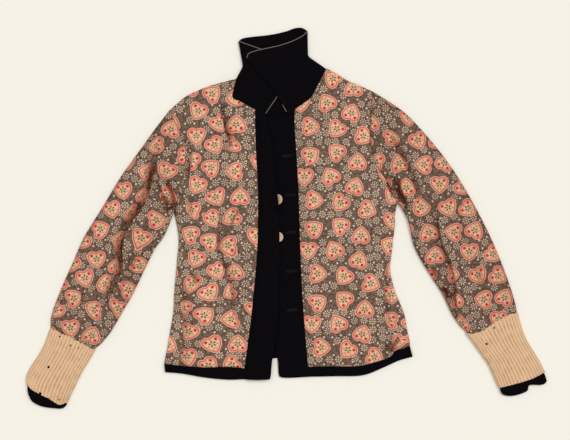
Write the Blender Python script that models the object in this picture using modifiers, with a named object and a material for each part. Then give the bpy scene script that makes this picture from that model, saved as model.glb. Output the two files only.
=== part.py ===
"""A short wool jacket, turned inside out and laid flat with its front up.

The lining faces out. Black wool shows at the collar, the front facings, the hem bands and the sleeve ends, and
the cuffs are rib knit. The jacket lies on z = 0 with its collar towards +Y. Left is -X and right is +X.
Every panel is a cloth wall worked out from the seam lines below, and neighbours stop a seam gap apart.
"""

import math
from collections import namedtuple

import bmesh
import bpy
from mathutils import Vector

MM = 0.001

# Driving sizes, in millimetres
WALL = 2.4  # lined wool, and the doubled wool of the facings, hem and collar
KNIT_WALL = 2.0
SLEEVE_END_WALL = 1.8
SEAM_GAP = 0.3
SEAM_TRIM = 0.2  # how far a panel stops short of its seam line, so that slanting edges keep the gap
TUBE_TRIM = 2 * SEAM_TRIM
COLLAR_TRIM = 6 * SEAM_TRIM
FOLD_RADIUS = 3.6  # the rolled edge of a flattened tube
LAYER_TOP = 2 * FOLD_RADIUS  # where the upper layer's outer face lies
EDGE_TOP = 2 * WALL + SEAM_GAP  # the upper layer's outer face where it is sewn to the back
EDGE_SLOPE = 20.0  # how far the upper layer takes to come down to that seam
CUFF_RADIUS = 5.6
CUFF_WIDENING = 1 / 3  # the share of a cuff's length over which it widens
CUFF_PLAY = 0.5  # room between a cuff and the sleeve end inside it, beyond the seam gap
BUTTON_RADIUS = 10.0
BUTTON_THICKNESS = 3.4
BUTTON_BEVEL = 0.8
BUTTON_SEGMENTS = 16
BUTTONHOLE_LENGTH = 20.0
BUTTONHOLE_WIDTH = 0.8
# The left facing rides over the buttons by this much
BUTTON_LIFT = EDGE_TOP + BUTTON_THICKNESS + 2 * SEAM_GAP + WALL - LAYER_TOP
# Down the left front, where that lift starts, is full, is full for the last time and ends
LIFT_STARTS, LIFT_FULL, LIFT_STILL_FULL, LIFT_ENDS = 214.0, 150.0, -212.0, -262.0
LIFT_SHARE = 0.34  # how far across the left facing the lift is full
SINK_SHARE = 0.42  # how far across the right facing it has come down to the height of a seam
# The right collar half steps up over the left one from this far beyond that one's front edge, over this width
COLLAR_STEP_START = 25.0
COLLAR_STEP_WIDTH = 14.0
# The seam lines were laid out from a point this far from the middle of the finished outline
LAYOUT_OFFSET = Vector((-0.4, 0.1))

# Stations along each stretch of a seam, shared by the panels that meet there
SIDE_STATIONS = 9
ARMHOLE_STATIONS = 8
SHOULDER_STATIONS = 4
NECK_STATIONS = 5
FACING_TOP_STATIONS = 2
FACING_STATIONS = SIDE_STATIONS + ARMHOLE_STATIONS + SHOULDER_STATIONS - NECK_STATIONS
PANEL_COLUMNS = 8
BACK_COLUMNS = 10
FACING_COLUMNS = 6
COLLAR_ROWS = 6
COLLAR_BACK_STATIONS = BACK_COLUMNS // 2
ARC_SEGMENTS = 4
SLEEVE_ROWS = 10
WAIST_SHARE = 0.4  # how far up the collar its narrowest line lies
CURVE_STEPS = 24  # steps between two points of a seam line while its length is measured
MERGE_DISTANCE = 0.01
SHARP_ANGLE = math.radians(50)

# Seam lines as (x, y) points in millimetres, each from the hem or the front opening outwards or upwards
SEAMS = {
    "facing_left": ((-83, -300), (-69, -192), (-58, -70), (-56, 0), (-56, 57), (-60, 135), (-62, 217)),
    "facing_right": ((44, -297), (36, -202), (31, -123), (28, -50), (24, 74), (17, 189), (18, 217)),
    "neck_left": ((-62, 217), (-77, 225), (-92, 233), (-107, 241), (-104, 259), (-100, 277)),
    "neck_right": ((18, 217), (34, 228), (48, 239), (59, 256), (71, 279), (80, 298)),
    "side_left": ((-243, -291), (-226, -196), (-223, -150), (-218, -92), (-214, -44), (-218, -14), (-224, 14)),
    "side_right": ((247, -255), (231, -180), (216, -140), (208, -104), (210, -60), (216, -12), (221, 25)),
    "armhole_left": ((-224, 14), (-212, 48), (-204, 96), (-200, 136), (-212, 172), (-233, 215)),
    "armhole_right": ((221, 25), (204, 66), (180, 106), (168, 156), (170, 205), (172, 253)),
    "shoulder_left": ((-233, 215), (-204, 240), (-182, 252), (-152, 264), (-112, 275)),
    "shoulder_right": ((172, 253), (148, 264), (120, 276), (104, 287), (90, 294)),
    "hem_left": ((-83, -300), (-115, -297), (-162, -298), (-207, -295), (-243, -291)),
    "hem_right": ((44, -297), (100, -296), (139, -295), (175, -287), (212, -271), (247, -255)),
    "hem_back": ((-243, -291), (-130, -268), (-18, -254), (120, -252), (247, -255)),
    "neck_back": ((-100, 277), (-60, 273), (-10, 273), (40, 283), (80, 298)),
    "cuff_left": ((-472, -223), (-456, -229), (-440, -236), (-409, -250), (-381, -264)),
    "cuff_right": ((464, -192), (446, -195), (421, -208), (400, -222), (381, -231), (360, -231)),
}

# Free edges, in the same way
EDGES = {
    "front_left": ((-33, -321), (-27, -280), (-18, -224), (-14, -164), (-13, -44), (-15, 26), (-23, 106),
                   (-28, 146), (-41, 208)),
    "front_right": ((-12, -319), (-17, -280), (-27, -230), (-32, -164), (-33, 0), (-37, 106), (-41, 199)),
    "facing_foot_left": ((-84, -322), (-58, -323), (-33, -321)),
    "facing_foot_right": ((45, -317), (15, -319), (-12, -319)),
    "facing_top_left": ((-62, 217), (-51, 212), (-41, 208)),
    "facing_top_right": ((18, 217), (-10, 206), (-41, 199)),
    "hem_left": ((-84, -322), (-116, -323), (-160, -319), (-207, -311), (-241, -308)),
    "hem_right": ((45, -317), (100, -316), (154, -314), (196, -298), (225, -285), (253, -277)),
    "hem_back": ((-241, -308), (-130, -288), (-18, -274), (120, -272), (253, -277)),
    "collar_front_left": ((-41, 208), (-17, 243), (12, 320)),
    "collar_foot_right": ((1, 212), (9, 214), (18, 217)),
    "collar_top_left": ((12, 320), (-18, 328), (-50, 337), (-76, 346), (-95, 353)),
    "collar_top_right": ((-76, 321), (-69, 330), (-47, 336), (-16, 343), (14, 353), (34, 364), (43, 374)),
    "collar_waist_left": ((-17, 243), (-40, 257), (-66, 275), (-86, 303)),
    "collar_waist_right": ((-27, 252), (-8, 262), (14, 276), (30, 294), (44, 323)),
    "collar_back_waist": ((-86, 303), (-50, 308), (-10, 312), (20, 317), (44, 323)),
    "collar_back_top": ((-95, 353), (-82, 360), (-32, 366), (0, 373), (17, 379), (31, 380), (43, 374)),
    "cuff_left": ((-516, -338), (-496, -349), (-477, -359), (-462, -369), (-448, -369), (-435, -368)),
    "cuff_right": ((517, -307), (492, -320), (468, -328), (446, -334), (425, -339)),
    "sleeve_end_left": ((-515, -350), (-507, -366), (-488, -376), (-462, -380), (-446, -380), (-437, -372)),
    "sleeve_end_right": ((521, -326), (512, -333), (486, -334), (481, -346), (454, -355), (434, -353),
                         (427, -342)),
}

# A flattened tube's sections: the outer and the inner edge of each, from the body to the hand
Section = namedtuple("Section", "outer_x outer_y inner_x inner_y")
TUBES = {
    "sleeve_left": (
        Section(-233, 215, -224, 14), Section(-262, 177, -229, -2), Section(-290, 138, -236, -20),
        Section(-330, 82, -246, -40), Section(-366, 22, -262, -62), Section(-402, -36, -284, -106),
        Section(-427, -92, -306, -152), Section(-450, -144, -328, -190), Section(-467, -190, -352, -230),
        Section(-472, -223, -381, -264),
    ),
    "sleeve_right": (
        Section(172, 253, 221, 25), Section(208, 231, 231, 12), Section(244, 204, 241, -6),
        Section(288, 156, 248, -28), Section(330, 102, 256, -56), Section(366, 44, 272, -88),
        Section(400, -20, 292, -120), Section(425, -76, 313, -153), Section(446, -132, 334, -196),
        Section(464, -192, 360, -231),
    ),
    "cuff_left": (
        Section(-472, -223, -381, -264), Section(-480, -246, -393, -285), Section(-492, -270, -406, -306),
        Section(-508, -294, -416, -326), Section(-519, -318, -425, -345), Section(-516, -338, -435, -368),
    ),
    "cuff_right": (
        Section(464, -192, 360, -231), Section(470, -216, 376, -252), Section(479, -240, 390, -272),
        Section(493, -264, 404, -292), Section(506, -285, 414, -314), Section(517, -307, 425, -339),
    ),
    "sleeve_end_left": (
        Section(-508, -294, -416, -326), Section(-519, -318, -425, -345), Section(-515, -334, -434, -363),
        Section(-515, -350, -437, -372),
    ),
    "sleeve_end_right": (
        Section(493, -264, 404, -292), Section(506, -285, 414, -314), Section(517, -307, 424, -336),
        Section(521, -326, 427, -342),
    ),
}

# The largest folds of the upper layer, in millimetres: a soft ridge, or a trough where rise is negative
Fold = namedtuple("Fold", "start_x start_y end_x end_y half_width rise")
FOLDS = (
    Fold(-272, 106, -312, 8, 16, 1.4),
    Fold(-312, 8, -336, -60, 16, 1.4),
    Fold(-336, -60, -342, -124, 14, 1.0),
    Fold(-196, 66, -168, 20, 12, 1.2),
    Fold(-262, 50, -240, 30, 10, 1.2),
    Fold(-134, 6, -136, -50, 8, -1.2),
    Fold(-136, -50, -104, -204, 8, -1.2),
    Fold(288, 36, 322, -74, 12, 1.3),
    Fold(322, -74, 348, -164, 12, 1.2),
    Fold(190, 70, 168, 30, 12, 1.2),
    Fold(250, 60, 238, 34, 10, 1.2),
    Fold(120, 190, 148, 230, 14, 1.0),
)

# Buttons under the left front's edge, and the middle of each buttonhole in the right facing
Fastening = namedtuple("Fastening", "button_x button_y hole_x hole_y")
FASTENINGS = (
    Fastening(-37.0, 114.0, 8.0, 124.0),
    Fastening(-14.5, 38.0, 11.0, 46.0),
    Fastening(-15.5, -38.0, 13.0, -29.0),
    Fastening(-26.0, -114.0, 15.0, -106.0),
    Fastening(-29.0, -190.0, 17.0, -184.0),
)

# Colour, roughness and metallic value of each cloth
Finish = namedtuple("Finish", "red green blue roughness metallic")
FINISHES = {
    "lining": Finish(0.30, 0.17, 0.12, 0.9, 0.0),
    "wool": Finish(0.004, 0.003, 0.005, 0.95, 0.0),
    "rib_knit": Finish(0.69, 0.41, 0.25, 0.95, 0.0),
    "horn": Finish(0.71, 0.54, 0.40, 0.4, 0.0),
}


def smooth(share):
    """Ease a share from 0 to 1 with no slope at either end."""
    share = min(1.0, max(0.0, share))
    return share * share * (3 - 2 * share)


def line_through(points, stations, rounded=True):
    """Points at even steps along a line through a table's points."""
    knots = [Vector(p) for p in points]
    dense = []
    for k in range(len(knots) - 1):
        before = knots[max(k - 1, 0)]
        after = knots[min(k + 2, len(knots) - 1)]
        for step in range(CURVE_STEPS):
            t = step / CURVE_STEPS
            point = knots[k].lerp(knots[k + 1], t)
            if rounded:
                leave = (knots[k + 1] - before) / 2
                arrive = (after - knots[k]) / 2
                chord = knots[k + 1] - knots[k]
                point += t * (1 - t) * ((1 - t) * (leave - chord) - t * (arrive - chord))
            dense.append(point)
    dense.append(knots[-1])
    reach = [0.0]
    for a, b in zip(dense, dense[1:]):
        reach.append(reach[-1] + (b - a).length)
    line = []
    k = 0
    for station in range(stations + 1):
        target = reach[-1] * station / stations
        while k < len(dense) - 2 and reach[k + 1] < target:
            k += 1
        share = (target - reach[k]) / max(reach[k + 1] - reach[k], 1e-9)
        line.append(dense[k].lerp(dense[k + 1], min(1.0, share)))
    return line


def fold_rise(point):
    """How far the largest folds lift the upper layer at a point."""
    strongest = 0.0
    for fold in FOLDS:
        start = Vector((fold.start_x, fold.start_y))
        run = Vector((fold.end_x, fold.end_y)) - start
        along = (point - start).dot(run) / run.length_squared
        nearest = start + run * min(1.0, max(0.0, along))
        rise = fold.rise * smooth(1 - (point - nearest).length / fold.half_width)
        strongest = max(strongest, rise, key=abs)
    return strongest


def ruled(first, last, bottom=None, top=None):
    """Rows from each point of one line to its partner on another, bent to the bottom and top lines."""
    columns = len(bottom or top) - 1
    grid = []
    for j, (a, b) in enumerate(zip(first, last)):
        v = j / (len(first) - 1)
        row = []
        for i in range(columns + 1):
            point = a.lerp(b, i / columns)
            if bottom:
                point += (1 - v) ** 3 * (bottom[i] - bottom[0].lerp(bottom[-1], i / columns))
            if top:
                point += v**3 * (top[i] - top[0].lerp(top[-1], i / columns))
            row.append(point)
        grid.append(row)
    return grid


def towards(start, end, distance):
    """A point moved a given distance towards another."""
    return start + (end - start).normalized() * distance


def trimmed(grid, across=SEAM_TRIM, along=SEAM_TRIM):
    """Pull the borders of a grid in from the seam lines."""
    for row in grid:
        first = towards(row[0], row[1], across)
        last = towards(row[-1], row[-2], across)
        row[0], row[-1] = first, last
    for edge, inside in ((0, 1), (-1, -2)):
        grid[edge] = [towards(p, q, along) for p, q in zip(grid[edge], grid[inside])]
    return grid


def raised(grid, height):
    """Give each point of a flat grid the height that a function of its place and row returns."""
    return [
        [Vector((p.x, p.y, height(p, i / (len(row) - 1), j))) for i, p in enumerate(row)]
        for j, row in enumerate(grid)
    ]


def finish_material(finish_name):
    """The material of a cloth, made once and then shared."""
    material = bpy.data.materials.get(finish_name)
    if material is None:
        finish = FINISHES[finish_name]
        material = bpy.data.materials.new(finish_name)
        material.use_nodes = True
        shader = material.node_tree.nodes["Principled BSDF"]
        shader.inputs["Base Color"].default_value = (finish.red, finish.green, finish.blue, 1)
        shader.inputs["Roughness"].default_value = finish.roughness
        shader.inputs["Metallic"].default_value = finish.metallic
    return material


def add_part(name, bm, finish_name):
    """Put a mesh into the jacket's collection as one named part."""
    mesh = bpy.data.meshes.new(name)
    bm.to_mesh(mesh)
    bm.free()
    mesh.shade_smooth()
    mesh.set_sharp_from_angle(angle=SHARP_ANGLE)
    part = bpy.data.objects.new(name, mesh)
    part.parent = JACKET
    mesh.materials.append(finish_material(finish_name))
    PARTS.objects.link(part)
    return part


def cloth(name, grid, finish_name, wall=WALL, closed=False, faces_up=True):
    """A cloth wall whose outer face runs through a grid of points."""
    rows = len(grid) - 1
    columns = len(grid[0]) - 1
    bm = bmesh.new()
    bmesh.ops.create_grid(bm, x_segments=columns, y_segments=rows, size=0.5)
    for vert in bm.verts:
        i = round((vert.co.x + 0.5) * columns)
        j = round((vert.co.y + 0.5) * rows)
        place = grid[j][i]
        vert.co = (place - LAYOUT_OFFSET.to_3d()) * MM
    if closed:
        bmesh.ops.remove_doubles(bm, verts=bm.verts, dist=MERGE_DISTANCE * MM)
    bm.normal_update()
    highest = max(bm.faces, key=lambda face: face.calc_center_median().z)
    if (highest.normal.z > 0) != faces_up:
        bmesh.ops.reverse_faces(bm, faces=bm.faces)
    part = add_part(name, bm, finish_name)
    thickness = part.modifiers.new("wall", "SOLIDIFY")
    thickness.thickness = wall * MM
    thickness.offset = -1
    thickness.use_even_offset = True
    return part


def outer_line(side, end):
    """A front's outer border: its side seam, its armhole and its shoulder, up to a given end point."""
    line = line_through(SEAMS[f"side_{side}"], SIDE_STATIONS)
    line += line_through(SEAMS[f"armhole_{side}"], ARMHOLE_STATIONS)[1:]
    line += line_through(SEAMS[f"shoulder_{side}"], SHOULDER_STATIONS)[1:]
    if end is not None:
        line[-1] = end
    return line


def inner_line(side):
    """A front's inner border: its facing seam and its neck seam."""
    line = line_through(SEAMS[f"facing_{side}"], FACING_STATIONS)
    return line + line_through(SEAMS[f"neck_{side}"], NECK_STATIONS, rounded=False)[1:]


def upper_height(grid):
    """The upper layer's height: down at the side and shoulder seams, level at the armhole, with its folds."""
    last_armhole_row = SIDE_STATIONS + ARMHOLE_STATIONS

    def height(point, share, row):
        ends = grid[row]
        at_armhole = SIDE_STATIONS < row < last_armhole_row
        down = 0.0 if at_armhole else LAYER_TOP - EDGE_TOP
        inwards = (point - ends[-1]).length / EDGE_SLOPE
        return LAYER_TOP - down * (1 - smooth(inwards)) + fold_rise(point) * smooth(inwards)

    return height


def build_fronts_and_hems():
    """Both fronts, and the hem bands that carry on from their lowest rows."""
    for side in ("left", "right"):
        hem = line_through(SEAMS[f"hem_{side}"], PANEL_COLUMNS)
        front = ruled(inner_line(side), outer_line(side, None), bottom=hem)
        cloth(f"front_{side}", raised(trimmed(front), upper_height(front)), "lining")
        foot = line_through(EDGES[f"hem_{side}"], PANEL_COLUMNS)
        band = ruled([foot[0], hem[0]], [foot[-1], hem[-1]], bottom=foot)
        band[1] = hem
        cloth(f"hem_front_{side}", raised(trimmed(band), upper_height(band)), "wool")


def build_back():
    """The back panel, flat on the surface, and its hem band."""
    neck = line_through(SEAMS["neck_back"], BACK_COLUMNS)
    hem = line_through(SEAMS["hem_back"], BACK_COLUMNS)
    panel = ruled(outer_line("left", neck[0]), outer_line("right", neck[-1]), bottom=hem, top=neck)
    foot = line_through(EDGES["hem_back"], BACK_COLUMNS)
    for name, grid, finish_name in (("back_panel", panel, "lining"), ("hem_back", [foot, hem], "wool")):
        cloth(name, raised(trimmed(grid), lambda point, share, row: 0.0), finish_name, faces_up=False)


def move_to(thing, collection):
    """Take an object out of its collections and put it in another."""
    for old in list(thing.users_collection):
        old.objects.unlink(thing)
    collection.objects.link(thing)


def facing_grid(side):
    """A facing's points, from its seam to the free front edge."""
    foot = line_through(EDGES[f"facing_foot_{side}"], FACING_COLUMNS)
    top = line_through(EDGES[f"facing_top_{side}"], FACING_COLUMNS)
    seam = [foot[0]] + line_through(SEAMS[f"facing_{side}"], FACING_STATIONS)
    free = line_through(EDGES[f"front_{side}"], FACING_STATIONS + 1)
    return trimmed(ruled(seam, free, bottom=foot, top=top))


def build_facings():
    """The left facing lies over the buttons, and the right one under them, with its buttonholes."""

    def left_height(point, share, row):
        upper = smooth((LIFT_STARTS - point.y) / (LIFT_STARTS - LIFT_FULL))
        lower = smooth((point.y - LIFT_ENDS) / (LIFT_STILL_FULL - LIFT_ENDS))
        return LAYER_TOP + BUTTON_LIFT * smooth(share / LIFT_SHARE) * upper * lower

    def right_height(point, share, row):
        return LAYER_TOP - (LAYER_TOP - EDGE_TOP) * smooth(share / SINK_SHARE)

    cloth("facing_left", raised(facing_grid("left"), left_height), "wool")
    right = cloth("facing_right", raised(facing_grid("right"), right_height), "wool")
    for number, fastening in enumerate(FASTENINGS, 1):
        bpy.ops.mesh.primitive_cube_add(size=MM)
        cutter = bpy.context.object
        cutter.name = f"buttonhole_cutter_{number}"
        cutter.scale = (BUTTONHOLE_LENGTH, BUTTONHOLE_WIDTH, 3 * LAYER_TOP)
        middle = Vector((fastening.hole_x, fastening.hole_y)) - LAYOUT_OFFSET
        cutter.location = middle.to_3d() * MM
        cutter.hide_render = True
        cutter.display_type = "WIRE"
        move_to(cutter, CUTTERS)
        cut = right.modifiers.new(f"buttonhole_{number}", "BOOLEAN")
        cut.object = cutter
        cut.operation = "DIFFERENCE"


def section_loop(section, radius, floor, spread):
    """One loop round a flattened tube: an outer arc, the top, an inner arc and the flat bottom."""
    outer = Vector(section[:2])
    inner = Vector(section[2:])
    inwards = (inner - outer).normalized()
    start = outer + inwards * radius
    end = inner - inwards * radius
    stations = len(spread) - 1
    line = [start.lerp(end, k / stations) + spread[k] for k in range(stations + 1)]
    half_turn = [math.pi * (a / ARC_SEGMENTS - 0.5) for a in range(ARC_SEGMENTS + 1)]
    loop = []
    for angle in half_turn:
        place = line[0] - inwards * radius * math.cos(angle)
        loop.append(place.to_3d() + Vector((0, 0, floor + radius + radius * math.sin(angle))))
    for point in line[1:-1]:
        lift = fold_rise(point)
        loop.append(point.to_3d() + Vector((0, 0, floor + 2 * radius + lift)))
    for angle in reversed(half_turn):
        place = line[-1] + inwards * radius * math.cos(angle)
        loop.append(place.to_3d() + Vector((0, 0, floor + radius + radius * math.sin(angle))))
    for point in reversed(line[1:-1]):
        loop.append(point.to_3d() + Vector((0, 0, floor)))
    return loop + loop[:1]


def departures(curve):
    """How far each point of a curve lies from its chord."""
    chord_end = len(curve) - 1
    return [p - curve[0].lerp(curve[-1], k / chord_end) for k, p in enumerate(curve)]


def line_at(values, rows):
    """Values at even steps between the rows of one column, joined smoothly."""
    steps = []
    for row in range(rows + 1):
        place = row * (len(values) - 1) / rows
        k = min(int(place), len(values) - 2)
        t = place - k
        before = values[max(k - 1, 0)]
        after = values[min(k + 2, len(values) - 1)]
        chord = values[k + 1] - values[k]
        leave = (values[k + 1] - before) / 2
        arrive = (after - values[k]) / 2
        bend = t * (1 - t) * ((1 - t) * (leave - chord) - t * (arrive - chord))
        steps.append(values[k] + chord * t + bend)
    return steps


def tube_sections(table, rows):
    """A table's sections at even steps of its rows."""
    edges = [line_at([row[k] for row in table], rows) for k in range(4)]
    return [Section(*values) for values in zip(*edges)]


def rolled_edge_columns(columns):
    """The columns of a tube's grid on its two rolled edges, and on the column that closes the loop."""
    top = ARMHOLE_STATIONS - 1
    outer = list(range(ARC_SEGMENTS + 1))
    inner = list(range(ARC_SEGMENTS + 1 + top, 2 * ARC_SEGMENTS + 2 + top))
    return outer + inner + [columns - 1]


def tube(name, finish_name, rows, radii, first, last, wall=WALL, inset=0.0, rolled_trim=0.0):
    """A flattened tube from its table, whose two ends follow given curves."""
    sections = tube_sections(TUBES[name], rows)
    still = [Vector((0, 0))] * (ARMHOLE_STATIONS + 1)
    first_bends = departures(first) if first else still
    last_bends = departures(last)
    grid = []
    for row, section in enumerate(sections):
        v = row / rows
        outer = Vector(section[:2])
        inner = Vector(section[2:])
        inwards = (inner - outer).normalized() * inset
        narrowed = Section(*(outer + inwards), *(inner - inwards))
        spread = [(1 - v) ** 3 * a + v**3 * b for a, b in zip(first_bends, last_bends)]
        radius = radii[0] + (radii[1] - radii[0]) * smooth(v / CUFF_WIDENING)
        grid.append(section_loop(narrowed, radius - inset, inset, spread))
    trimmed(grid, across=0.0, along=TUBE_TRIM)
    for k in rolled_edge_columns(len(grid[0])):
        grid[0][k] = towards(grid[0][k], grid[1][k], rolled_trim)
    return cloth(name, grid, finish_name, wall=wall, closed=True)


def build_sleeves():
    """Sleeves, cuffs and the wool sleeve ends inside the cuffs."""
    inside_cuff = KNIT_WALL + SEAM_GAP + CUFF_PLAY
    for side in ("left", "right"):
        armhole = line_through(SEAMS[f"armhole_{side}"], ARMHOLE_STATIONS)[::-1]
        seam = line_through(SEAMS[f"cuff_{side}"], ARMHOLE_STATIONS)
        end = line_through(EDGES[f"cuff_{side}"], ARMHOLE_STATIONS)
        tip = line_through(EDGES[f"sleeve_end_{side}"], ARMHOLE_STATIONS, rounded=False)
        level = (FOLD_RADIUS, FOLD_RADIUS)
        widening = (FOLD_RADIUS, CUFF_RADIUS)
        full = (CUFF_RADIUS, CUFF_RADIUS)
        cuff_rows = len(TUBES[f"cuff_{side}"]) - 1
        end_rows = len(TUBES[f"sleeve_end_{side}"]) - 1
        tube(f"sleeve_{side}", "lining", SLEEVE_ROWS, level, armhole, seam, rolled_trim=WALL)
        tube(f"cuff_{side}", "rib_knit", cuff_rows, widening, seam, end, wall=KNIT_WALL)
        tube(f"sleeve_end_{side}", "wool", end_rows, full, None, tip, wall=SLEEVE_END_WALL, inset=inside_cuff)


def left_collar_edge(y):
    """Where the left collar half's front edge lies at a given height up the collar."""
    knots = EDGES["collar_front_left"]
    for (x0, y0), (x1, y1) in zip(knots, knots[1:]):
        if y <= y1:
            return x0 + (x1 - x0) * (y - y0) / (y1 - y0)
    return knots[-1][0]


def collar_height(side, point):
    """The front of a collar half lies level, and the right one steps up over the left one."""
    if side == "left":
        return LAYER_TOP
    over = smooth((left_collar_edge(point.y) + COLLAR_STEP_START - point.x) / COLLAR_STEP_WIDTH)
    return LAYER_TOP + (WALL + SEAM_GAP) * over


def up_collar(points, share):
    """A point between the neck seam, the waist and the top edge of the collar."""
    neck, waist, top = points
    if share < WAIST_SHARE:
        return neck.lerp(waist, share / WAIST_SHARE)
    return waist.lerp(top, (share - WAIST_SHARE) / (1 - WAIST_SHARE))


def build_collar():
    """Two collar halves that meet at the middle of the back, fold at the side and cross in front."""
    back_lines = [
        line_through(SEAMS["neck_back"], BACK_COLUMNS),
        line_through(EDGES["collar_back_waist"], BACK_COLUMNS),
        line_through(EDGES["collar_back_top"], BACK_COLUMNS),
    ]
    fronts = {
        "left": line_through(EDGES["facing_top_left"], FACING_TOP_STATIONS)[::-1],
        "right": line_through(EDGES["collar_foot_right"], FACING_TOP_STATIONS),
    }
    for side, inwards in (("left", Vector((1, 0))), ("right", Vector((-1, 0)))):
        neck = fronts[side] + line_through(SEAMS[f"neck_{side}"], NECK_STATIONS, rounded=False)[1:]
        stations = len(neck) - 1
        front_lines = [
            neck,
            line_through(EDGES[f"collar_waist_{side}"], stations),
            line_through(EDGES[f"collar_top_{side}"], stations),
        ]
        half = slice(0, COLLAR_BACK_STATIONS + 1) if side == "left" else slice(-1, -COLLAR_BACK_STATIONS - 2, -1)
        backs = [line[half] for line in back_lines]
        grid = []
        for row in range(COLLAR_ROWS + 1):
            share = row / COLLAR_ROWS
            front = [up_collar(points, share) for points in zip(*front_lines)]
            back = [up_collar(points, share) for points in zip(*backs)]
            fold = front[-1] + inwards * FOLD_RADIUS
            line = [p.to_3d() + Vector((0, 0, collar_height(side, p))) for p in front[:-1]]
            for a in range(ARC_SEGMENTS + 1):
                angle = math.pi * (0.5 - a / ARC_SEGMENTS)
                place = fold - inwards * FOLD_RADIUS * math.cos(angle)
                line.append(place.to_3d() + Vector((0, 0, FOLD_RADIUS * (1 + math.sin(angle)))))
            line += [p.to_3d() for p in back[1:]]
            grid.append(line)
        cloth(f"collar_{side}", trimmed(grid, along=COLLAR_TRIM), "wool")


def build_buttons():
    """Five horn buttons between the two fronts, on the underside of the left one."""
    for number, fastening in enumerate(FASTENINGS, 1):
        bm = bmesh.new()
        radius = BUTTON_RADIUS * MM
        bmesh.ops.create_cone(bm, cap_ends=True, segments=BUTTON_SEGMENTS, radius1=radius, radius2=radius,
                              depth=BUTTON_THICKNESS * MM)
        button = add_part(f"button_{number}", bm, "horn")
        rounding = button.modifiers.new("rounding", "BEVEL")
        rounding.width = BUTTON_BEVEL * MM
        rounding.segments = 1
        middle = Vector((fastening.button_x, fastening.button_y)) - LAYOUT_OFFSET
        height = EDGE_TOP + SEAM_GAP + BUTTON_THICKNESS / 2
        button.location = Vector((middle.x, middle.y, height)) * MM


for old_object in list(bpy.data.objects):
    bpy.data.objects.remove(old_object)
PARTS = bpy.data.collections.new("wool_jacket")
CUTTERS = bpy.data.collections.new("cutters")
bpy.context.scene.collection.children.link(PARTS)
bpy.context.scene.collection.children.link(CUTTERS)
JACKET = bpy.data.objects.new("jacket_origin", None)
PARTS.objects.link(JACKET)

build_back()
build_fronts_and_hems()
build_facings()
build_sleeves()
build_collar()
build_buttons()
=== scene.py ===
"""Wool jacket turned inside out and laid flat: printed lining, black wool edges and rib-knit cuffs.

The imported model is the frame, and each piece of cloth is laid on the form of its own solid there. Plan
tables are in millimetres as the jacket lies, x to the viewer's right and y towards the collar; meshes are
in metres.
"""

import logging
import math
from dataclasses import dataclass, field
from enum import Enum
from typing import ClassVar, NamedTuple, Sequence

import bmesh
import bpy
import numpy as np
from mathutils import Matrix, Vector

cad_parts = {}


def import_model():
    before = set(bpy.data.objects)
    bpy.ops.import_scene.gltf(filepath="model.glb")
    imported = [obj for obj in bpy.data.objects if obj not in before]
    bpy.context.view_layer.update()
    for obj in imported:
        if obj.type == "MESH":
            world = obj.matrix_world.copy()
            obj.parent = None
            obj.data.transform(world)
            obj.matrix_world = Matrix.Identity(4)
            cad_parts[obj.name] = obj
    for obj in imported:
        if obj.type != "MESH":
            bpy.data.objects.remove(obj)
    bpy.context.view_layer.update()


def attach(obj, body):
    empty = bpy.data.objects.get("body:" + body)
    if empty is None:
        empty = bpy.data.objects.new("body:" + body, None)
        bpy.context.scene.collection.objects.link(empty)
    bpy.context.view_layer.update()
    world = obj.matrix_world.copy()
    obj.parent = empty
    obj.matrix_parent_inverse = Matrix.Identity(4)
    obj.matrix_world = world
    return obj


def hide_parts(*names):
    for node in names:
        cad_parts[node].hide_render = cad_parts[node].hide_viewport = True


log = logging.getLogger("jacket")

MM = 0.001
BODY = "root"
# The plan tables are measured from a point this far (mm) from the frame's origin.
PLAN_ORIGIN = np.array((-0.4, 0.1))
# Points of a mesh nearer than this (m) are one point.
WELD = 1e-6
# Steps between two points of a smooth line: for reading it, and for measuring from it.
CURVE_STEPS, MEASURE_STEPS = 24, 8
# How fast a panel's shaped end gives way to straight rows: the power of the share of its length.
END_POWER = 3

Points = Sequence[Sequence[float]]
Array = np.ndarray


class Side(Enum):
    """The viewer's left or right half of the jacket."""

    LEFT = "left"
    RIGHT = "right"


class Slot(Enum):
    """The record's material slots."""

    LINING = "lining"
    WOOL = "wool"
    KNIT = "rib_knit"
    HORN = "horn"


class Section(NamedTuple):
    """One section across a sleeve tube: its two edges as it lies, in mm."""

    outer_x: float
    outer_y: float
    inner_x: float
    inner_y: float


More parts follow.
